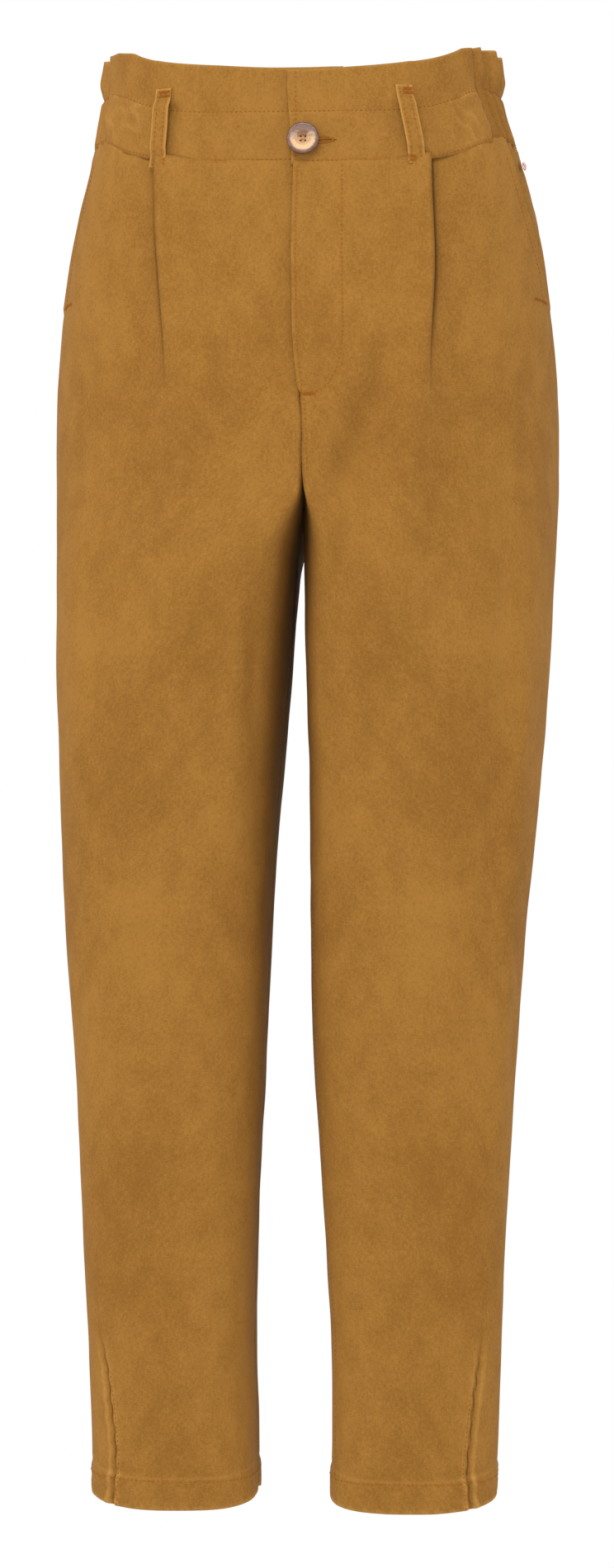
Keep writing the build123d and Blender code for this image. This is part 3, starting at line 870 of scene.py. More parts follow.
    def shape(self):
        """Move the points to the finished cloth."""
        points, filled = self.points, self.filled
        if self.front:
            near_front = smooth((-filled[..., 1] - 20.0) / 80.0)
            points[..., 0] += middle_drift(filled[..., 0], self.z) * near_front
        opening = self.skin.at(self.corner, self.level)[0] + 0.35
        pulled = (1 - smooth(self.seam_gap / 16.0)) * self.joined * (self.seam_gap > -0.5)
        points[..., 0] -= self.side * opening * pulled
        points += self.out * self.relief()[..., None]
        from_middle = np.clip(np.nan_to_num(self.distance) / self.total * 2 - 1, -1, 1)
        points[..., 2] += 7.5 * from_middle ** 2 * smooth((-860.0 - self.z) / 140.0)

    def wear_and_painted_light(self):
        """Where dye has rubbed off, with painted highlights on ridges and painted shade in creases, grooves
        and beside the pleat.
        """
        climb, fade = self.climb, self.dart_fade
        puckers = np.clip(self.roping, 0.0, 1.0) * self.in_hem
        wear_and_painted_light = 0.5 * bump(self.total - self.distance, 2.5) + 0.7 * bump(climb, 2.0)
        # Lighter on the hem roping crests: rubbed dye with a painted highlight.
        wear_and_painted_light += 0.35 * bump(climb - hem_turn - 1.5, 1.6) + 0.22 * puckers
        # Darker in the hem stitch groove: painted shade.
        wear_and_painted_light -= 0.5 * bump(climb - hem_turn, 0.8)
        # Dart: painted highlight on its ridge, painted shade in its crease.
        wear_and_painted_light += fade * (0.5 * bump(self.dart_gap - 3.0, 1.8) - 0.9 * bump(self.dart_gap, 0.9))
        if not self.front:
            return wear_and_painted_light
        z, gap = self.z, self.pleat_gap
        edge_gap = np.where(z > fly_bottom, self.distance - self.corner - self.edge_x, 99.0)
        patchy = 0.5 + 0.9 * ripple(self.filled, (5.0, 14.0), 12.0)
        wear_and_painted_light += 0.45 * bump(edge_gap, 0.9) * patchy + 0.5 * bump(self.mouth_gap, 1.2) * patchy
        wear_and_painted_light += 0.22 * bump(edge_gap - 9.0, 9.0) * np.clip(patchy, 0, 1) * (self.side > 0)
        wear_and_painted_light += 0.4 * fade_pleat(z) * bump(gap + 0.8, 1.0)
        # Pleat: painted shade in the crease at the ledge's foot, and a painted shadow fading across the cloth
        # beyond it.
        shadow = 0.3 * np.where(gap > 0, np.exp(-gap / 9.0), 0.0)
        wear_and_painted_light -= fade_pleat(z) * (1.3 * bump(gap - 1.2, 1.4) + shadow)
        # Painted shade along the middle seam's groove below the fly.
        wear_and_painted_light -= 0.4 * bump(self.seam_gap, 0.7) * (z < fly_bottom) * (z > -312)
        return wear_and_painted_light

    def sheet(self):
        """Finished sheet of cloth."""
        self.shape()
        wear_and_painted_light = self.wear_and_painted_light()
        if self.front:
            crinkle = 1.0 - np.abs(ripple(self.filled, (13.0, 22.0), 31.0)) * 3.2
            crinkle = np.clip(crinkle, 0, 1) * self.dying(24.0)
            crinkle *= smooth((np.abs(self.filled[..., 0]) - 88.0) / 22.0)
            # Crinkle ridges lighter: rubbed dye with a painted highlight.
            wear_and_painted_light += 0.4 * crinkle
            self.points += self.out * (0.8 * crinkle)[..., None]
        uv = np.stack((self.distance - 0.35 * self.total, self.z), -1)
        name = side_of("front_leg" if self.front else "back_leg", self.side)
        return sheet_from_grid(name, self.points, self.out, uv, np.clip(wear_and_painted_light, -1.0, 1.0))


fold_dir = Vector((fold_high[0] - fold_low[0], front_plane(fold_high[1]) - front_plane(fold_low[1]),
                   fold_high[1] - fold_low[1])).normalized()
plane_out = Vector((0.0, -1.0, 0.114)).normalized()
flap_side = plane_out.cross(fold_dir).normalized()
if flap_side.x > 0:
    flap_side.negate()


def hinge_cloth(piece):
    """Bake the piece's placement into its mesh."""
    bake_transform(piece)


left_leg = LegPanel(1, True).sheet()
right_leg = LegPanel(-1, True).sheet()
left_back = LegPanel(1, False).sheet()
right_back = LegPanel(-1, False).sheet()


# ---- waistband ----
BAND_ROWS = 26


def seam_depth(side, share):
    """Depth at which the front band meets the back band, by share of the band's height."""
    depths = (-45.0, -42.0, -39.0) if side < 0 else (-49.0, -60.0, -64.0)
    return float(np.interp(share, (0.0, stitch_share, 1.0), depths))


def band_level(ring, distance, share, z):
    """Heights on a ring at a share of the band's height, found by a few rounds of correction."""
    for turn in range(4):
        depth = ring.at(distance, z)[1]
        z = waist_seam(depth) + share * (top_edge(depth) - waist_seam(depth))
    return z


def band_sheet(side, start, end_y, inset=0.0, low=0.0, high=1.0, spacing=2.6):
    """Strip of the front band on one side, from a distance along it to where it meets a depth."""
    ring = Skin(side, "ring", inset)
    count = int((ring.distance_of_y(end_y, -50.0) - start) / spacing)
    along = np.linspace(0.0, 1.0, count + 1)
    shares = np.linspace(low, high, BAND_ROWS + 1)
    if side > 0 and inset == 0.0:
        slit = (button_z - seam_front) / (top_front - seam_front)
        shares = np.sort(np.concatenate((shares, [slit - 0.012, slit + 0.012])))
    share, part = np.meshgrid(shares, along, indexing="ij")
    stops = np.array([ring.distance_of_y(seam_depth(side, value), -50.0) for value in shares])
    distance = start + (stops[:, None] - start) * part
    z = band_level(ring, distance, share, np.full_like(share, -60.0))
    points, out = ring.place(distance, z)
    return points, out, share, distance, z


def band_relief(points, share, distance, side):
    """Relief of the flat front band: stitched valleys, a padded band, a loose frill."""
    points[..., 2] += 2.4 * bump(distance - 66.0, 34.0) * smooth((share - 0.5) / 0.5)
    relief = -0.7 * bump((share - stitch_share) * 64.0, 2.2)
    relief += 0.5 * bump((share - 0.28) * 64.0, 12.0)
    relief += 1.6 * smooth((share - stitch_share) / 0.45)
    relief -= 0.6 * bump(share * 64.0, 2.4)
    relief += 0.5 * ripple(points, (16.0, 26.0), 5.0 + side)
    relief += 0.9 * ripple(points, (34.0, 70.0), 8.0 + side) * smooth((share - 0.4) / 0.4)
    return relief


def front_band(side):
    """Front waistband on one side, with its frill, buttonhole slit and free end."""
    start = overlap_edge if side > 0 else -underlap_end
    name = "left_front_band" if side > 0 else "right_front_band"
    points, out, share, distance, z = band_sheet(side, start, band_seam_y)
    relief = band_relief(points, share, distance, side)
    loop_at = 78.0 if side > 0 else 92.0
    step = smooth((distance - loop_at) / 2.4)
    frill = smooth((share - stitch_share) / 0.12)
    relief += 1.4 * frill * (1 - step) * np.exp(-np.abs(distance - loop_at) / 22.0)
    edge_gap = distance - start
    relief += 0.25 * bump(edge_gap, 2.0) - 0.3 * bump(edge_gap - 3.0, 1.2)
    end_gap = distance.max(axis=1, keepdims=True) - distance
    relief -= 0.6 * bump(end_gap, 2.0)
    relief += 0.7 * bump(end_gap - 5.0, 3.0)
    points = points + out * relief[..., None]
    holes = None
    if side > 0:
        slit = (z > button_z - 1.2) & (z < button_z + 1.2)
        spread = 1.5 * bump(distance - button_x, 4.5) * np.sign(z - button_z)
        points[..., 2] += np.where(slit, spread, 0.0)
        middle = (z[:-1] + z[1:]) / 2
        across = (distance[:-1, :-1] + distance[:-1, 1:]) / 2
        tight = np.abs(middle[:, :-1] - button_z) < 0.5
        holes = tight & (across > 2.0) & (across < 27.0)
    crinkle = np.clip(1.0 - np.abs(ripple(points, (11.0, 17.0), 33.0)) * 3.2, 0, 1)
    sides = smooth((np.abs(points[..., 0]) - 86.0) / 24.0) * smooth(share / 0.1) * smooth((0.6 - share) / 0.1)
    points = points + out * (1.1 * crinkle * sides)[..., None]
    wear_and_painted_light = 0.55 * bump((1 - share) * 64.0, 1.5) + 0.3 * bump((share - stitch_share) * 64.0, 1.4)
    # Crinkle ridges lighter: rubbed dye with a painted highlight.
    wear_and_painted_light += 0.45 * crinkle * sides
    patchy = 0.5 + 0.9 * ripple(points, (5.0, 9.0), 14.0)
    wear_and_painted_light += (0.2 * bump(share * 64.0, 1.4) + 0.5 * bump(edge_gap, 1.0)) * patchy + 0.3 * bump(end_gap, 1.2)
    uv = np.stack((distance, z), -1)
    return sheet_from_grid(name, points, out, uv, np.clip(wear_and_painted_light, -1, 1), holes)


def back_ring(name, inset, low, high, waves, spacing=2.2, rows_count=30):
    """Ring of cloth from one side of the front band round the back to the other."""
    halves = []
    for side in (-1, 1):
        ring = Skin(side, "ring", inset)
        shares = np.linspace(low, high, rows_count + 1)
        starts = [ring.distance_of_y(seam_depth(side, value), -50.0) for value in shares]
        start = np.array(starts)[:, None]
        total = float(ring.width(-40.0))
        count = int((total - starts[0]) / spacing)
        along = np.linspace(0.0, 1.0, count + 1)
        share, part = np.meshgrid(shares, along, indexing="ij")
        z = np.full_like(share, -40.0)
        for turn in range(4):
            distance = start + part * (ring.width(z) - start)
            depth = ring.at(distance, z)[1]
            z = waist_seam(depth) + share * (top_edge(depth) - waist_seam(depth))
        points, out = ring.place(distance, z)
        arc = distance - start
        halves.append((points, out, share, arc if side < 0 else -arc, z))
    first, second = halves
    joined = []
    for a, b in zip(first, second):
        joined.append(np.concatenate((a, b[:, ::-1][:, 1:]), axis=1))
    points, out, share, arc, z = joined
    rounds = np.cumsum(np.linalg.norm(np.diff(points[0], axis=0), axis=-1))
    run = np.concatenate(([0.0], rounds))[None, :] + np.zeros_like(share)
    relief = np.zeros_like(share)
    if waves:
        phase = run * 2 * math.pi / 13.0 + 1.7 * np.sin(run / 31.0) + 1.1 * np.sin(run / 11.0 + 2.0)
        slant = phase + 1.8 * (share - 0.3) * np.sin(run / 47.0 + 0.6)
        frill = smooth((share - stitch_share) / 0.2)
        pinned = 1 - 0.6 * bump((share - stitch_share) * 64, 3.0) - 0.5 * bump(share * 64, 3.0)
        ridges = np.abs(np.sin(slant / 2)) ** 0.8 * 2 - 1.2
        relief = waves * pinned * (ridges * (1 - frill) + frill * 1.5 * np.sin(slant * 0.5 + 0.7))
        ends = smooth(run / 16.0) * smooth((run.max() - run) / 16.0)
        relief = relief * ends + 1.8 * frill * ends
        relief += 0.5 * ripple(points, (9.0, 14.0), 2.0)
        relief -= 0.8 * bump((share - stitch_share) * 64.0, 2.0)
    points = points + out * relief[..., None]
    # Lighter where the gathers stand out most.
    wear_and_painted_light = 0.55 * bump((1 - share) * (high > 0.9) * 64.0, 1.5) + 0.25 * smooth(relief / 2.0)
    uv = np.stack((run, z), -1)
    return sheet_from_grid(name, points, out, uv, np.clip(wear_and_painted_light, -1, 1))


left_band = front_band(1)
right_band = front_band(-1)
back_band = back_ring("back_band", 0.0, 0.0, 1.0, 2.2, 1.9, 34)


def plain_strip(name, side, start, inset, low, high):
    """Flat inner strip behind the front band."""
    points, out, share, distance, z = band_sheet(side, start, band_seam_y - 1, inset, low, high, 5.0)
    uv = np.stack((distance, z), -1)
    return sheet_from_grid(name, points, out, uv, np.zeros_like(share))


def region(side, inset, left_x, right_x, z_high, z_low, columns=26, lines=34):
    """Sheet inside the front, between two edges given as half widths at each height."""
    ring = Skin(side, "ring", inset)
    down = np.linspace(0.0, 1.0, lines + 1)
    z_rows = z_high + (z_low - z_high) * down
    grid = []
    for height in z_rows:
        a = ring.distance_of_x(left_x(height), height)
        b = ring.distance_of_x(right_x(height), height)
        grid.append(np.linspace(a, b, columns + 1))
    distance = np.array(grid)
    z = np.repeat(z_rows[:, None], columns + 1, axis=1)
    points, out = ring.place(distance, z)
    return points, out, np.stack((distance, z), -1)


def hip_facing(side):
    """Cloth under the pocket mouth, running on to the side seam."""
    ring = Skin(side, "ring", 0.0)
    lines, columns = 44, 26
    shape = (lines + 1, columns + 1)
    share, part = np.meshgrid(np.linspace(0, 1, lines + 1), np.linspace(0, 1, columns + 1), indexing="ij")
    front = Skin(side, "front")
    z = np.full(shape, -80.0)
    distance = np.zeros(shape)

    def from_corner(inside, level):
        """Distance from the middle to a line inside the pocket mouth."""
        reached = front.distance_of_x(mouth_x(side, level) - inside, level)
        return float(reached) - float(front.corner_at(level))

    for turn in range(4):
        for row in range(shape[0]):
            mean = float(z[row].mean())
            a = from_corner(16.0, mean)
            b = float(front.width(mean)) - float(front.corner_at(mean))
            distance[row] = a + (b - a) * part[row]
        depth = ring.at(distance, z)[1]
        z = waist_seam(depth) + share * (-198.0 - waist_seam(depth))
    points, out = ring.place(distance, z)
    mouth = np.zeros_like(z)
    for row in range(shape[0]):
        mouth[row] = distance[row] - from_corner(0.0, float(z[row].mean()))
    sunk = 1.7 + 2.0 * smooth((z + 110.0) / -40.0) * smooth((z + 196.0) / 40.0)
    under = sunk * (1 - smooth((mouth - 3.0) / 12.0))
    deep = smooth((-178.0 - z) / 12.0)
    relief = -np.maximum(under, deep * 2.4)
    relief += 0.5 * ripple(points, (14.0, 30.0), 4.0 * side) * (1 - deep)
    puckers = 1.2 * np.sin(distance * 2 * math.pi / 17.0) * np.exp((z - waist_seam(depth)) / 26.0)
    relief += puckers * smooth((mouth - 2.0) / 10.0)
    relief -= 0.7 * bump((1 - part) * 40.0, 3.0)
    points = points + out * relief[..., None]
    uv = np.stack((distance, z), -1)
    wear_and_painted_light = 0.4 * bump((1 - part) * 40.0, 2.0)
    return sheet_from_grid(side_of("hip_yoke", side), points, out, uv, wear_and_painted_light)


def pocket_bag(side):
    """Folded pocketing bag: an outer layer and an inner one joined along the fold and foot."""
    def inner_edge(z):
        return 78.0 + 14.0 * smooth((-234.0 - z) / 14.0)

    def outer_edge(z):
        low = 146.0 - 18.0 * smooth((-224.0 - z) / 24.0)
        share = smooth((-182.0 - z) / 42.0)
        return mouth_x(side, max(z, -182.0)) * (1 - share) - 4.0 * (1 - share) + low * share

    layers = []
    for inset in (8.5, 12.0):
        layers.append(region(side, inset, inner_edge, outer_edge, -92.0, -247.0))
    (front_points, out, uv), (back_points, back_out, back_uv) = layers
    points = np.concatenate((front_points, back_points[::-1]), axis=0)
    outs = np.concatenate((out, -back_out[::-1]), axis=0)
    uvs = np.concatenate((uv, back_uv[::-1]), axis=0)
    points = points + outs * 0.5 * ripple(points, (30.0, 40.0), 6.0)[..., None]
    return sheet_from_grid(side_of("pocket_bag_lining", side), points, outs, uvs,
                           np.zeros(points.shape[:2]))


def flat_piece(name, x_low, x_high, z_low, z_high, depth, cell=4.0, wave=0.0):
    """Flat sheet on the front plane, its edges given by height."""
    lines = max(2, int((z_high - z_low) / cell))
    columns = 6
    heights = np.linspace(z_low, z_high, lines + 1)
    low = np.array([x_low(h) for h in heights])
    high = np.array([x_high(h) for h in heights])
    part = np.linspace(0, 1, columns + 1)
    x = low[:, None] + (high - low)[:, None] * part
    z = np.repeat(heights[:, None], columns + 1, axis=1)
    y = front_plane(z) + depth
    points = np.stack((x, y, z), -1)
    out = np.zeros_like(points)
    out[..., 1] = -1.0
    points = points + out * (wave * ripple(points, (18.0, 40.0), 1.0))[..., None]
    wear_and_painted_light = 0.3 * bump(np.minimum(x - low[:, None], high[:, None] - x), 1.0)
    return sheet_from_grid(name, points, out, np.stack((x, z), -1), wear_and_painted_light)


def fold_x(z):
    """Half width at which the fly's fold crosses a height."""
    return fold_low[0] + (z - fold_low[1]) * (fold_high[0] - fold_low[0]) / (fold_high[1] - fold_low[1])


def lining_edge(z):
    """Free edge of the flap's lining, just inside the flap's own edge."""
    return flap_edge + 1.8 + float(middle_drift(flap_edge, z))


left_yoke = hip_facing(1)
right_yoke = hip_facing(-1)
left_bag = pocket_bag(1)
right_bag = pocket_bag(-1)
left_lining = plain_strip("left_band_lining", 1, 29.0, 1.9, 0.02, 0.9)
right_lining = plain_strip("right_band_lining", -1, 2.0, 1.9, 0.02, 0.9)
back_lining = back_ring("back_band_lining", 5.2, 0.02, 0.9, 0.0, 5.0, 14)
waist_elastic = back_ring("waist_elastic", 3.9, 0.06, 0.6, 0.0, 4.0, 10)
flap_lining = flat_piece("fly_flap_lining", lining_edge, lambda z: fold_x(z) - 2.0,
                         fly_bottom + 8, seam_front - 0.5, 1.3, wave=0.2)
fly_guard = flat_piece("fly_guard", lambda z: -6.0, lambda z: zip_x + 18.0,
                       fly_bottom + 2, seam_front - 1, 8.9, wave=0.5)
edge_binding = flat_piece("fly_edge_binding", lambda z: -6.0, lambda z: zip_x - 5.0,
                          fly_bottom + 2, seam_front - 1, lap + 1.4, wave=0.1)
right_tape = flat_piece("right_zip_tape", lambda z: -5.5, lambda z: zip_x - 1.2,
                        zip_low - 8, seam_front - 1, 5.9)
left_tape = flat_piece("left_zip_tape", lambda z: zip_x + 1.2, lambda z: zip_x + 13.0,
                       zip_low - 8, seam_front - 1, 5.9)

front_pieces = (left_leg, right_leg, left_band, right_band, back_band, left_yoke, right_yoke)
SURFACE = {}


def remember(piece):
    """Keep a piece's outer surface, so that stitches can be laid on it."""
    corners = [v.co[:] for v in piece.data.vertices]
    polygons = [p.vertices[:] for p in piece.data.polygons]
    SURFACE[piece.name] = BVHTree.FromPolygons(corners, polygons)


for piece in (*front_pieces, left_back, right_back):
    remember(piece)


# ---- belt loops ----
FRONT_LOOPS = (("right_front_loop", -1, 90.5, -68.0), ("left_front_loop", 1, 77.5, -69.0))


def belt_loop(name, side, along, z_middle, back=False, centre=False):
    """Narrow folded strap, sewn down at both ends and standing off the band between them."""
    ring = Skin(side, "ring", 0.0)
    half, wide = 26.7, 5.6
    at = float(ring.width(z_middle)) - along if back or centre else along
    lines, columns = 34, 8
    up = np.linspace(-half, half, lines + 1)
    across = np.linspace(-wide, wide, columns + 1)
    rise, side_step = np.meshgrid(up, across, indexing="ij")
    z = z_middle + rise
    shares = at / float(ring.width(z_middle))
    if centre:
        base, out = ring.place(np.full_like(z, 0.0) + ring.width(z), z)
        base[..., 0] += side_step
        out[...] = np.array((0.0, 0.99, 0.13))
    else:
        base, out = ring.place(shares * ring.width(z) + side_step, z)
    stand = 2.6 + 2.6 * smooth((half - 6.5 - np.abs(rise)) / 7.0)
    stand += 0.45 * bump(np.abs(side_step) - wide + 1.0, 1.0)
    stand -= 0.3 * bump(np.abs(side_step) - wide + 2.4, 0.6)
    if back or centre:
        stand += 2.2
    points = base + out * stand[..., None]
    wear_and_painted_light = 0.9 * bump(np.abs(side_step) - wide, 1.0) + 0.6 * bump(np.abs(rise) - half, 1.2) + 0.12
    uv = np.stack((side_step + 40.0, z), -1)
    return sheet_from_grid(name, points, out, uv, np.clip(wear_and_painted_light, -1, 1))


loops = [
    (belt_loop(*FRONT_LOOPS[0]), "belt_loop_right"),
    (belt_loop(*FRONT_LOOPS[1]), "belt_loop_left"),
    (belt_loop("right_back_loop", -1, 88.0, -38.0, back=True), "belt_loop_back_right"),
    (belt_loop("left_back_loop", 1, 88.0, -38.0, back=True), "belt_loop_back_left"),
    (belt_loop("centre_back_loop", 1, 0.0, -38.0, centre=True), "belt_loop_back_centre"),
]
for piece, node in loops:
    remember(piece)


# ---- stitching ----
def repeat_tree(name, shape):
    """Node tree that lays one small shape at an even pitch along every path of a mesh."""
    tree = bpy.data.node_groups.new(name, "GeometryNodeTree")
    face = tree.interface
    face.new_socket("Paths", in_out="INPUT", socket_type="NodeSocketGeometry")
    for label, size in (("Pitch", 3.1), ("Length", 2.5), ("Width", 0.6), ("Height", 0.5)):
        socket = face.new_socket(label, in_out="INPUT", socket_type="NodeSocketFloat")
        socket.default_value = size * mm
    face.new_socket("Finish", in_out="INPUT", socket_type="NodeSocketMaterial")
    face.new_socket("Result", in_out="OUTPUT", socket_type="NodeSocketGeometry")

    def add(kind, settings=None, **links):
        made = tree.nodes.new(kind)
        for key, value in (settings or {}).items():
            setattr(made, key, value)
        for key, value in links.items():
            spot = made.inputs[key.replace("_", " ")]
            if isinstance(value, bpy.types.NodeSocket):
                tree.links.new(value, spot)
            else:
                spot.default_value = value
        return made

    given = add("NodeGroupInput")
    curve = add("GeometryNodeMeshToCurve", None, Mesh=given.outputs["Paths"])
    even = add("GeometryNodeResampleCurve", {"mode": "LENGTH"}, Curve=curve.outputs[0],
               Length=given.outputs["Pitch"])
    heading = add("GeometryNodeInputTangent")
    turn = add("FunctionNodeAlignRotationToVector", {"axis": "Z"}, Vector=heading.outputs[0])
    sizes = add("ShaderNodeCombineXYZ", None, X=given.outputs["Width"], Y=given.outputs["Height"],
                Z=given.outputs["Length"])
    if shape == "stitch":
        unit = add("GeometryNodeMeshUVSphere", None, Segments=6, Rings=5, Radius=0.5)
    else:
        unit = add("GeometryNodeMeshCube", None, Size=(1.0, 1.0, 1.0))
    laid = add("GeometryNodeInstanceOnPoints", None, Points=even.outputs[0],
               Instance=unit.outputs["Mesh"], Rotation=turn.outputs[0], Scale=sizes.outputs[0])
    real = add("GeometryNodeRealizeInstances", None, Geometry=laid.outputs[0])
    soft = add("GeometryNodeSetShadeSmooth", None, Geometry=real.outputs[0])
    soft.inputs["Shade Smooth"].default_value = shape == "stitch"
    painted = add("GeometryNodeSetMaterial", None, Geometry=soft.outputs[0],
                  Material=given.outputs["Finish"])
    result = add("NodeGroupOutput")
    tree.links.new(painted.outputs[0], result.inputs[0])
    return tree


stitch_run = repeat_tree("stitch_run", "stitch")
tooth_run = repeat_tree("tooth_run", "block")


def run_mesh(name, tree, paths, material, **sizes):
    """Plain mesh of the small shapes laid along the given paths, in millimetres."""
    points, edges = [], []
    for path in paths:
        if len(path) < 2:
            continue
        for number, point in enumerate(path):
            if number:
                edges.append((len(points) - 1, len(points)))
            points.append([value * mm for value in point])
    mesh = bpy.data.meshes.new(name + "_paths")
    mesh.from_pydata(points, edges, [])
    piece = bpy.data.objects.new(name, mesh)
    bpy.context.scene.collection.objects.link(piece)
    layer = piece.modifiers.new("run", "NODES")
    layer.node_group = tree
    for item in tree.interface.items_tree:
        if item.item_type != "SOCKET" or item.in_out != "INPUT":
            continue
        if item.name in sizes:
            layer[item.identifier] = sizes[item.name] * mm
        if item.name == "Finish":
            layer[item.identifier] = material
    graph = bpy.context.evaluated_depsgraph_get()
    made = bpy.data.meshes.new_from_object(piece.evaluated_get(graph))
    piece.modifiers.clear()
    piece.data = made
    return piece


def on_front(piece_name, points, lift=0.15, spacing=1.5):
    """Path laid on the front of a piece through points given as x and z."""
    tree = SURFACE[piece_name]
    path = []
    for (x0, z0), (x1, z1) in zip(points, points[1:]):
        count = max(1, int(math.hypot(x1 - x0, z1 - z0) / spacing))
        for step in range(count + (1 if (x1, z1) == points[-1] else 0)):
            share = step / count
            origin = Vector((x0 + (x1 - x0) * share, -300.0, z0 + (z1 - z0) * share)) * mm
            hit, normal = tree.ray_cast(origin, Vector((0, 1, 0)))[:2]
            if hit is not None:
                out = normal if normal.y < 0 else -normal
                path.append(hit / mm + out * lift)
    return path


def on_skin(piece_name, side, run, spots, lift=0.15):
    """Path laid on a piece through distances along one half and heights."""
    skin = Skin(side, run)
    tree = SURFACE[piece_name]
    distance = np.array([spot[0] for spot in spots], float)
    z = np.array([spot[1] for spot in spots], float)
    points, out = skin.place(distance, z)
    path = []
    for point, direction in zip(points, out):
        hit = tree.find_nearest(Vector(point) * mm)[0]
        path.append(hit / mm + Vector(direction) * lift)
    return path


def ring_path(piece_name, side, start, end, share, lift=0.15, spacing=1.5):
    """Path round the band at a share of its height, between two distances along one half."""
    ring = Skin(side, "ring")
    count = int((end - start) / spacing)
    distance = np.linspace(start, end, count + 1)
    z = band_level(ring, distance, share, np.full_like(distance, -50.0))
    return on_skin(piece_name, side, "ring", list(zip(distance, z)), lift)


def bar_tack(piece_name, x, z, length, pitch=0.55):
    """Dense zigzag of short stitches across a small bar."""
    path = []
    for number in range(int(length / pitch) + 1):
        across = 0.9 if number % 2 else -0.9
        path.append((x - length / 2 + number * pitch, z + across))
    return on_front(piece_name, path, 0.25, 5.0)


fly_curve = [(fly_stitch, seam_front - 2), (fly_stitch, -150), (fly_stitch + 1, -200)]
for degree in range(0, 91, 10):
    turn = math.radians(degree)
    fly_curve.append((13.0 + 19.0 * math.cos(turn), -208.0 - 41.0 * math.sin(turn)))
fly_curve.append((6.0, -249.5))


def flap_line(inside):
    """Line at a constant distance inside the flap's edge."""
    heights = np.linspace(seam_front - 2, fly_bottom + 2, 30)
    return [(flap_edge + inside + float(middle_drift(flap_edge, z)), z) for z in heights]


overlap_stitch = overlap_edge + 2.5
left_paths = [
    on_front("left_front_leg", fly_curve),
    on_front("left_front_leg", flap_line(2.6)),
    on_front("left_front_band", [(overlap_stitch, seam_front + 2), (overlap_stitch, top_front - 2)]),
]
body_paths = []
right_paths = []
left_stop = Skin(1, "ring").distance_of_y(band_seam_y, -50.0)
right_stop = Skin(-1, "ring").distance_of_y(band_seam_y, -50.0)
for share in BAND_STITCHES:
    left_paths.append(ring_path("left_front_band", 1, overlap_edge + 2.0, left_stop - 1, share))
    right_paths.append(ring_path("right_front_band", -1, 1.0, right_stop - 1, share))


def mouth_path(name, side, inside):
    """Line at a constant distance inside a pocket mouth."""
    points = []
    for z in np.linspace(-84.0, -181.0, 30):
        points.append((side * (mouth_x(side, z) - inside), z))
    return on_front(name, points)


left_paths.append(mouth_path("left_front_leg", 1, 3.4))
body_paths.append(mouth_path("right_front_leg", -1, 3.4))
seam_line = [(6.4, -254), (7.6, -266), (8.2, -284), (8.4, -300)]
left_paths.append(on_front("left_front_leg", seam_line))


def hem_path(name, side, run):
    """Line along the top of a panel's hem."""
    skin = Skin(side, run)
    total = float(skin.width(hem_z + hem_turn))
    spots = [(d, hem_z + hem_turn) for d in np.arange(2.0, total - 2.0, 1.5)]
    return on_skin(name, side, run, spots)


left_paths.append(hem_path("left_front_leg", 1, "front"))
for name, side, run in (("right_front_leg", -1, "front"), ("left_back_leg", 1, "back"),
                        ("right_back_leg", -1, "back")):
    body_paths.append(hem_path(name, side, run))

for side, stop in ((-1, right_stop), (1, left_stop)):
    ring = Skin(side, "ring")
    total = float(ring.width(-40.0))
    for share in BAND_STITCHES:
        body_paths.append(ring_path("back_band", side, stop + 1, total - 1, share))

for name, side, x, z in FRONT_LOOPS:
    for across in (-4.2, 4.2):
        ring = Skin(side, "ring")
        share = x / float(ring.width(z))
        spots = []
        for rise in np.arange(-25.0, 25.1, 1.5):
            spots.append((share * float(ring.width(z + rise)) + across, z + rise))
        body_paths.append(on_skin(name, side, "ring", spots, 0.2))

inner_line = []
for z in np.arange(-600.0, -985.0, -12.0):
    half_gap = float(np.interp(-z, -HEIGHTS, DIMS[1]))
    inner_line.append((half_gap - float(swing(z)) + float(lean(z)) + 4.2, z))
left_paths.append(on_front("left_front_leg", inner_line))
for side, name in ((1, "left_front_leg"), (-1, "right_front_leg")):
    line = [(x - 3.0 * side, z) for x, z in HEM_DARTS[side][1:-1]]
    line.append((HEM_DARTS[side][-1][0] - 3.0 * side, -1003.0))
    (left_paths if side > 0 else body_paths).append(on_front(name, line))

tack_paths = []
for side, x, z in ((-1, -88.0, -68.0), (1, 76.0, -69.0)):
    name = "right_front_loop" if side < 0 else "left_front_loop"
    for rise in (-24.5, -21.8, 21.8, 24.5):
        tack_paths.append(bar_tack(name, x, z + rise, 9.0))
for side, name in ((1, "left_front_leg"), (-1, "right_front_leg")):
    tack_paths.append(bar_tack(name, side * (mouth_x(side, -178.0) - 5.0), -179.0, 8.0))
fly_tacks = [bar_tack("left_front_leg", 9.0, -250.5, 10.0)]

purl = []
for number in range(64):
    turn = 2 * math.pi * number / 64
    for reach in (1.0, 2.3):
        x = 13.0 + (11.0 + reach * 0.6) * math.cos(turn)
        z = button_z + (0.7 + reach) * math.sin(turn) / max(0.45, abs(math.sin(turn)) ** 0.3 + 0.2)
        purl.append((x, z))
purl_path = on_front("left_front_band", purl, 0.25, 6.0)

SEAM_STITCH = {"Pitch": 3.1, "Length": 1.9, "Width": 0.75, "Height": 0.6}
TACK_STITCH = {"Length": 1.5, "Width": 0.55, "Height": 0.5}
body_stitches = run_mesh("body_stitching", stitch_run, body_paths + right_paths, thread, **SEAM_STITCH)
fly_stitches = run_mesh("fly_stitching", stitch_run, left_paths, thread, **SEAM_STITCH)
tacks = run_mesh("bar_tacks", stitch_run, tack_paths, thread, Pitch=1.0, **TACK_STITCH)
fly_bars = run_mesh("fly_bar_tacks", stitch_run, (*fly_tacks, purl_path), thread, Pitch=1.1, **TACK_STITCH)


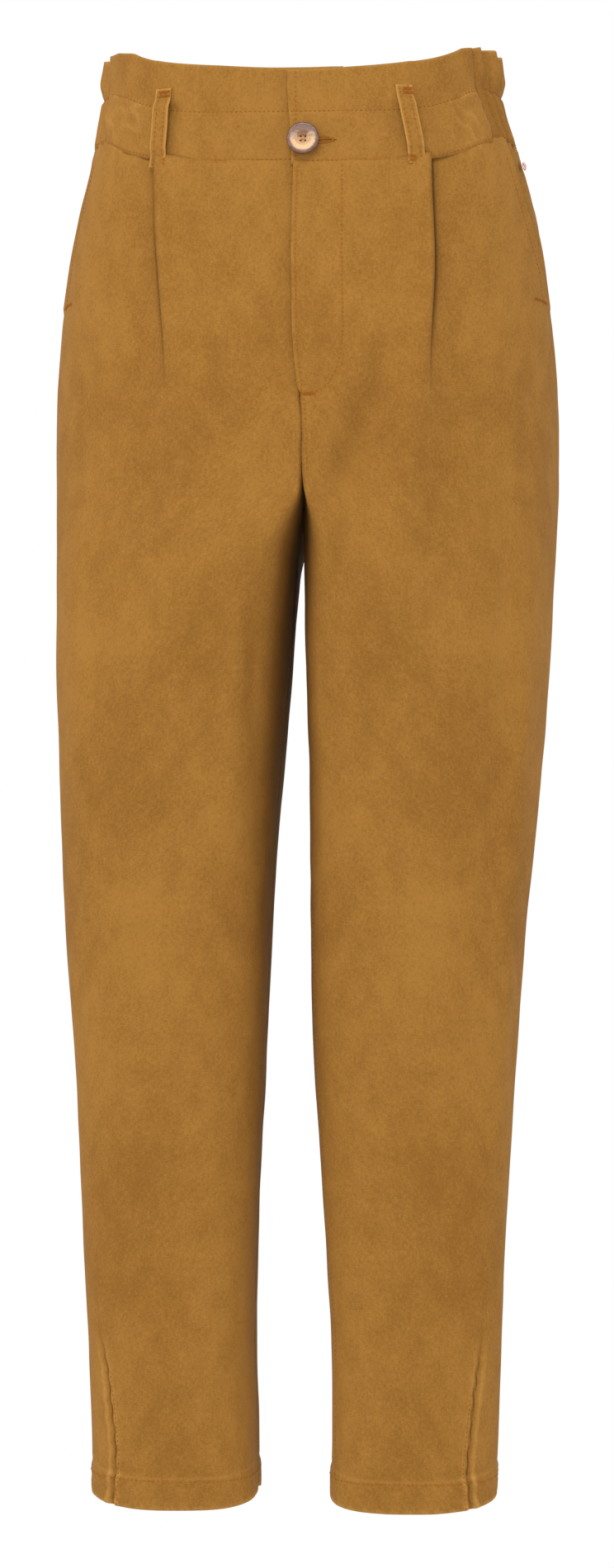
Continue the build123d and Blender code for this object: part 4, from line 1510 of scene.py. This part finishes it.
# ---- zip ----
def zip_line(offset):
    """Upright line beside the middle of the zip."""
    return [[(zip_x + offset, front_plane(z) + 6.2, z) for z in np.arange(zip_low, zip_high + 2.0, 6.0)]]


def rows_of_teeth(name, side):
    """Zip teeth of one side, half a pitch higher on the left."""
    paths = zip_line(side * 0.35)
    if side > 0:
        paths = [[(x, y, z + tooth_pitch / 2) for x, y, z in path] for path in paths]
    return run_mesh(name, tooth_run, paths, brass, Pitch=tooth_pitch, Length=1.3, Width=3.0, Height=1.7)


left_teeth = rows_of_teeth("left_zip_teeth", 1)
right_teeth = rows_of_teeth("right_zip_teeth", -1)

# ---- button thread and shank ----
button_low, button_high = (Vector(corner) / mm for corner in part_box("button"))
button_middle = (button_low + button_high) / 2


def thread_loops():
    """Threads crossing between the button's holes."""
    paths = []
    spread = 1.5
    face = button_low.y + 1.7
    for dz in (-spread, spread):
        for shift in (-0.28, 0.28):
            path = []
            for number in range(9):
                share = number / 8
                x = button_middle.x - spread + 2 * spread * share
                y = face - 0.75 * math.sin(math.pi * share)
                path.append((x, y, button_middle.z + dz + shift))
            paths.append(path)
    return paths


button_threads = run_mesh("button_threads", stitch_run, thread_loops(), thread,
                          Pitch=0.5, Length=0.9, Width=0.5, Height=0.5)


def shank_coil():
    """Thread wound round the shank behind the button."""
    path = []
    turns, start, stop = 5, button_high.y + 0.2, front_plane(button_z) + lap - 0.2
    for number in range(turns * 12 + 1):
        angle = 2 * math.pi * number / 12
        y = start + (stop - start) * number / (turns * 12)
        path.append((button_middle.x + 0.9 * math.cos(angle), y, button_z + 0.9 * math.sin(angle)))
    return [path]


shank = run_mesh("button_shank_thread", stitch_run, shank_coil(), thread,
                 Pitch=0.45, Length=0.9, Width=0.75, Height=0.75)


def small_plate():
    """Little leaf-shaped metal plate riveted at the top of the left pocket."""
    ring = Skin(1, "ring")
    height = -86.0
    spot = ring.distance_of_y(-23.0, height)
    turns, rings_count = 28, 5
    angle = np.linspace(0, 2 * math.pi, turns + 1)
    reach_part, angle = np.meshgrid(np.linspace(0.02, 1.0, rings_count + 1), angle, indexing="ij")
    along = 4.6 * np.sign(np.cos(angle)) * np.abs(np.cos(angle)) ** 1.3 * reach_part
    up = 2.7 * np.sign(np.sin(angle)) * np.abs(np.sin(angle)) ** 0.8 * reach_part
    base, out = ring.place(spot + along * 0.9 - up * 0.3, height + up + along * 0.35)
    stand = 3.6 + 0.7 * (1 - reach_part ** 3) - 0.5 * bump(reach_part * 4.6 - 3.4, 0.5)
    points = base + out * stand[..., None]
    wear_and_painted_light = np.zeros_like(reach_part)
    return sheet_from_grid("pocket_metal_plate", points, out, np.stack((along, up), -1), wear_and_painted_light)


metal_plate = small_plate()

# ---- thickness, finish and place in the frame ----
cloth_pieces = (
    (left_leg, twill_cloth, "twill", cloth, ("left_front_panel", "fly_flap")),
    (right_leg, twill_cloth, "twill", cloth, ("right_front_panel",)),
    (left_back, twill_cloth, "twill", cloth, ("left_back_panel",)),
    (right_back, twill_cloth, "twill", cloth, ("right_back_panel",)),
    (left_band, band_cloth, "twill", 1.5, ("waistband_front_left", "waistband_overlap")),
    (right_band, band_cloth, "twill", 1.5, ("waistband_front_right",)),
    (back_band, band_cloth, "twill", 1.3, ("waistband_back",)),
    (left_yoke, twill_cloth, "twill", cloth, ("left_hip_facing",)),
    (right_yoke, twill_cloth, "twill", cloth, ("right_hip_facing",)),
    (left_bag, pocket_cloth, "pocketing", 0.4, ("left_pocket_bag",)),
    (right_bag, pocket_cloth, "pocketing", 0.4, ("right_pocket_bag",)),
    (left_lining, pocket_cloth, "twill", 0.6, ("band_facing_left",)),
    (right_lining, pocket_cloth, "twill", 0.6, ("band_facing_right",)),
    (back_lining, pocket_cloth, "twill", 0.6, ("band_facing_back",)),
    (waist_elastic, elastic, "elastic", 1.0, ("back_elastic",)),
    (flap_lining, pocket_cloth, "twill", 0.6, ("fly_facing",)),
    (fly_guard, twill_cloth, "twill", 1.4, ("fly_shield",)),
    (edge_binding, twill_cloth, "twill", 0.8, ("fly_edge_strip",)),
    (right_tape, tape, "zip_tape", 0.6, ("zip_tape_right",)),
    (left_tape, tape, "zip_tape", 0.6, ("zip_tape_left",)),
)
for piece, material, slot, thickness, nodes in cloth_pieces:
    settle(piece, thickness)
    dress(piece, material)
    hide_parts(*nodes)
settle(metal_plate, 0.8)
dress(metal_plate, rose_metal)
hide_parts("metal_tag")
for piece, node in loops:
    settle(piece, 1.5)
    dress(piece, band_cloth)
    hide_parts(node)
for piece, node in ((left_teeth, "zip_teeth_left"), (right_teeth, "zip_teeth_right")):
    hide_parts(node)
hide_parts("button_thread")
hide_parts("button_shank")

for piece in (left_leg, left_band, flap_lining, fly_stitches, fly_bars):
    hinge_cloth(piece)
for piece in (left_tape, left_teeth):
    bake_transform(piece)
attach(button_threads, "button_head")
on_body = [right_leg, left_back, right_back, right_band, back_band, left_yoke, right_yoke, left_bag]
on_body += [right_bag, left_lining, right_lining, back_lining, waist_elastic, fly_guard, edge_binding]
on_body += [right_tape, right_teeth, shank, body_stitches, tacks]
on_body += [piece for piece, node in loops] + [metal_plate]
for piece in on_body:
    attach(piece, "root")

for node, material in (("zip_slider", brass), ("zip_pull_tab", brass), ("zip_top_stop_left", brass),
                       ("zip_top_stop_right", brass), ("zip_bottom_stop", brass),
                       ("button", horn)):
    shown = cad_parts[node]
    for place in shown.material_slots:
        place.material = material

# ---- floor, light and camera ----
scene = bpy.context.scene
scene.view_settings.view_transform = "Standard"
floor_mesh = bpy.data.meshes.new("studio_floor")
reach = 1.3
floor_z = -1.42
floor_mesh.from_pydata([(-reach, -reach, floor_z), (reach, -reach, floor_z), (reach, reach, floor_z),
                        (-reach, reach, floor_z)], [], [(0, 1, 2, 3)])
floor = bpy.data.objects.new("studio_floor", floor_mesh)
scene.collection.objects.link(floor)
bench = Bench("pale_floor")
spot = bench.node("ShaderNodeTexCoord", None, take="Object")
speck = bench.grain(spot, 30.0)
pale = bench.tint((0.86, 0.86, 0.86, 1), (0.9, 0.9, 0.9, 1), speck)
floor_mesh.materials.append(bench.finish(pale, 0.7))

world = bpy.data.worlds.new("studio")
scene.world = world
world.use_nodes = True
world.node_tree.nodes["Background"].inputs["Color"].default_value = (1.0, 1.0, 1.0, 1.0)
world.node_tree.nodes["Background"].inputs["Strength"].default_value = 1.0


def soft_light(name, place, target, size, power):
    """Flat panel light turned towards a target."""
    data = bpy.data.lights.new(name, "AREA")
    data.shape = "RECTANGLE"
    data.size, data.size_y = size
    data.energy = power
    lamp = bpy.data.objects.new(name, data)
    lamp.location = place
    aim = Vector(target) - Vector(place)
    lamp.rotation_euler = aim.to_track_quat("-Z", "Y").to_euler()
    scene.collection.objects.link(lamp)


soft_light("top_panel", (-0.3, -2.0, 1.5), (0, 0, -0.45), (1.8, 1.0), 46.0)
soft_light("left_panel", (-2.3, -1.2, -0.2), (0, 0, -0.5), (1.0, 2.0), 26.0)
soft_light("right_panel", (2.4, -1.1, -0.2), (0, 0, -0.5), (1.0, 2.0), 22.0)
soft_light("low_panel", (0.0, -2.6, -1.15), (0, 0, -0.7), (1.8, 0.5), 9.0)

camera_data = bpy.data.cameras.new("camera")
camera = bpy.data.objects.new("camera", camera_data)
scene.collection.objects.link(camera)
scene.camera = camera
yaw = math.radians(4.3)
range_m = 2.4
view_height = 1.092
centre_z = -0.509
camera.location = (range_m * math.sin(yaw), -range_m * math.cos(yaw), centre_z)
camera.rotation_euler = (math.radians(90.0), 0.0, yaw)
camera_data.sensor_fit = "VERTICAL"
camera_data.sensor_height = 36.0
camera_data.lens = 36.0 * range_m / view_height
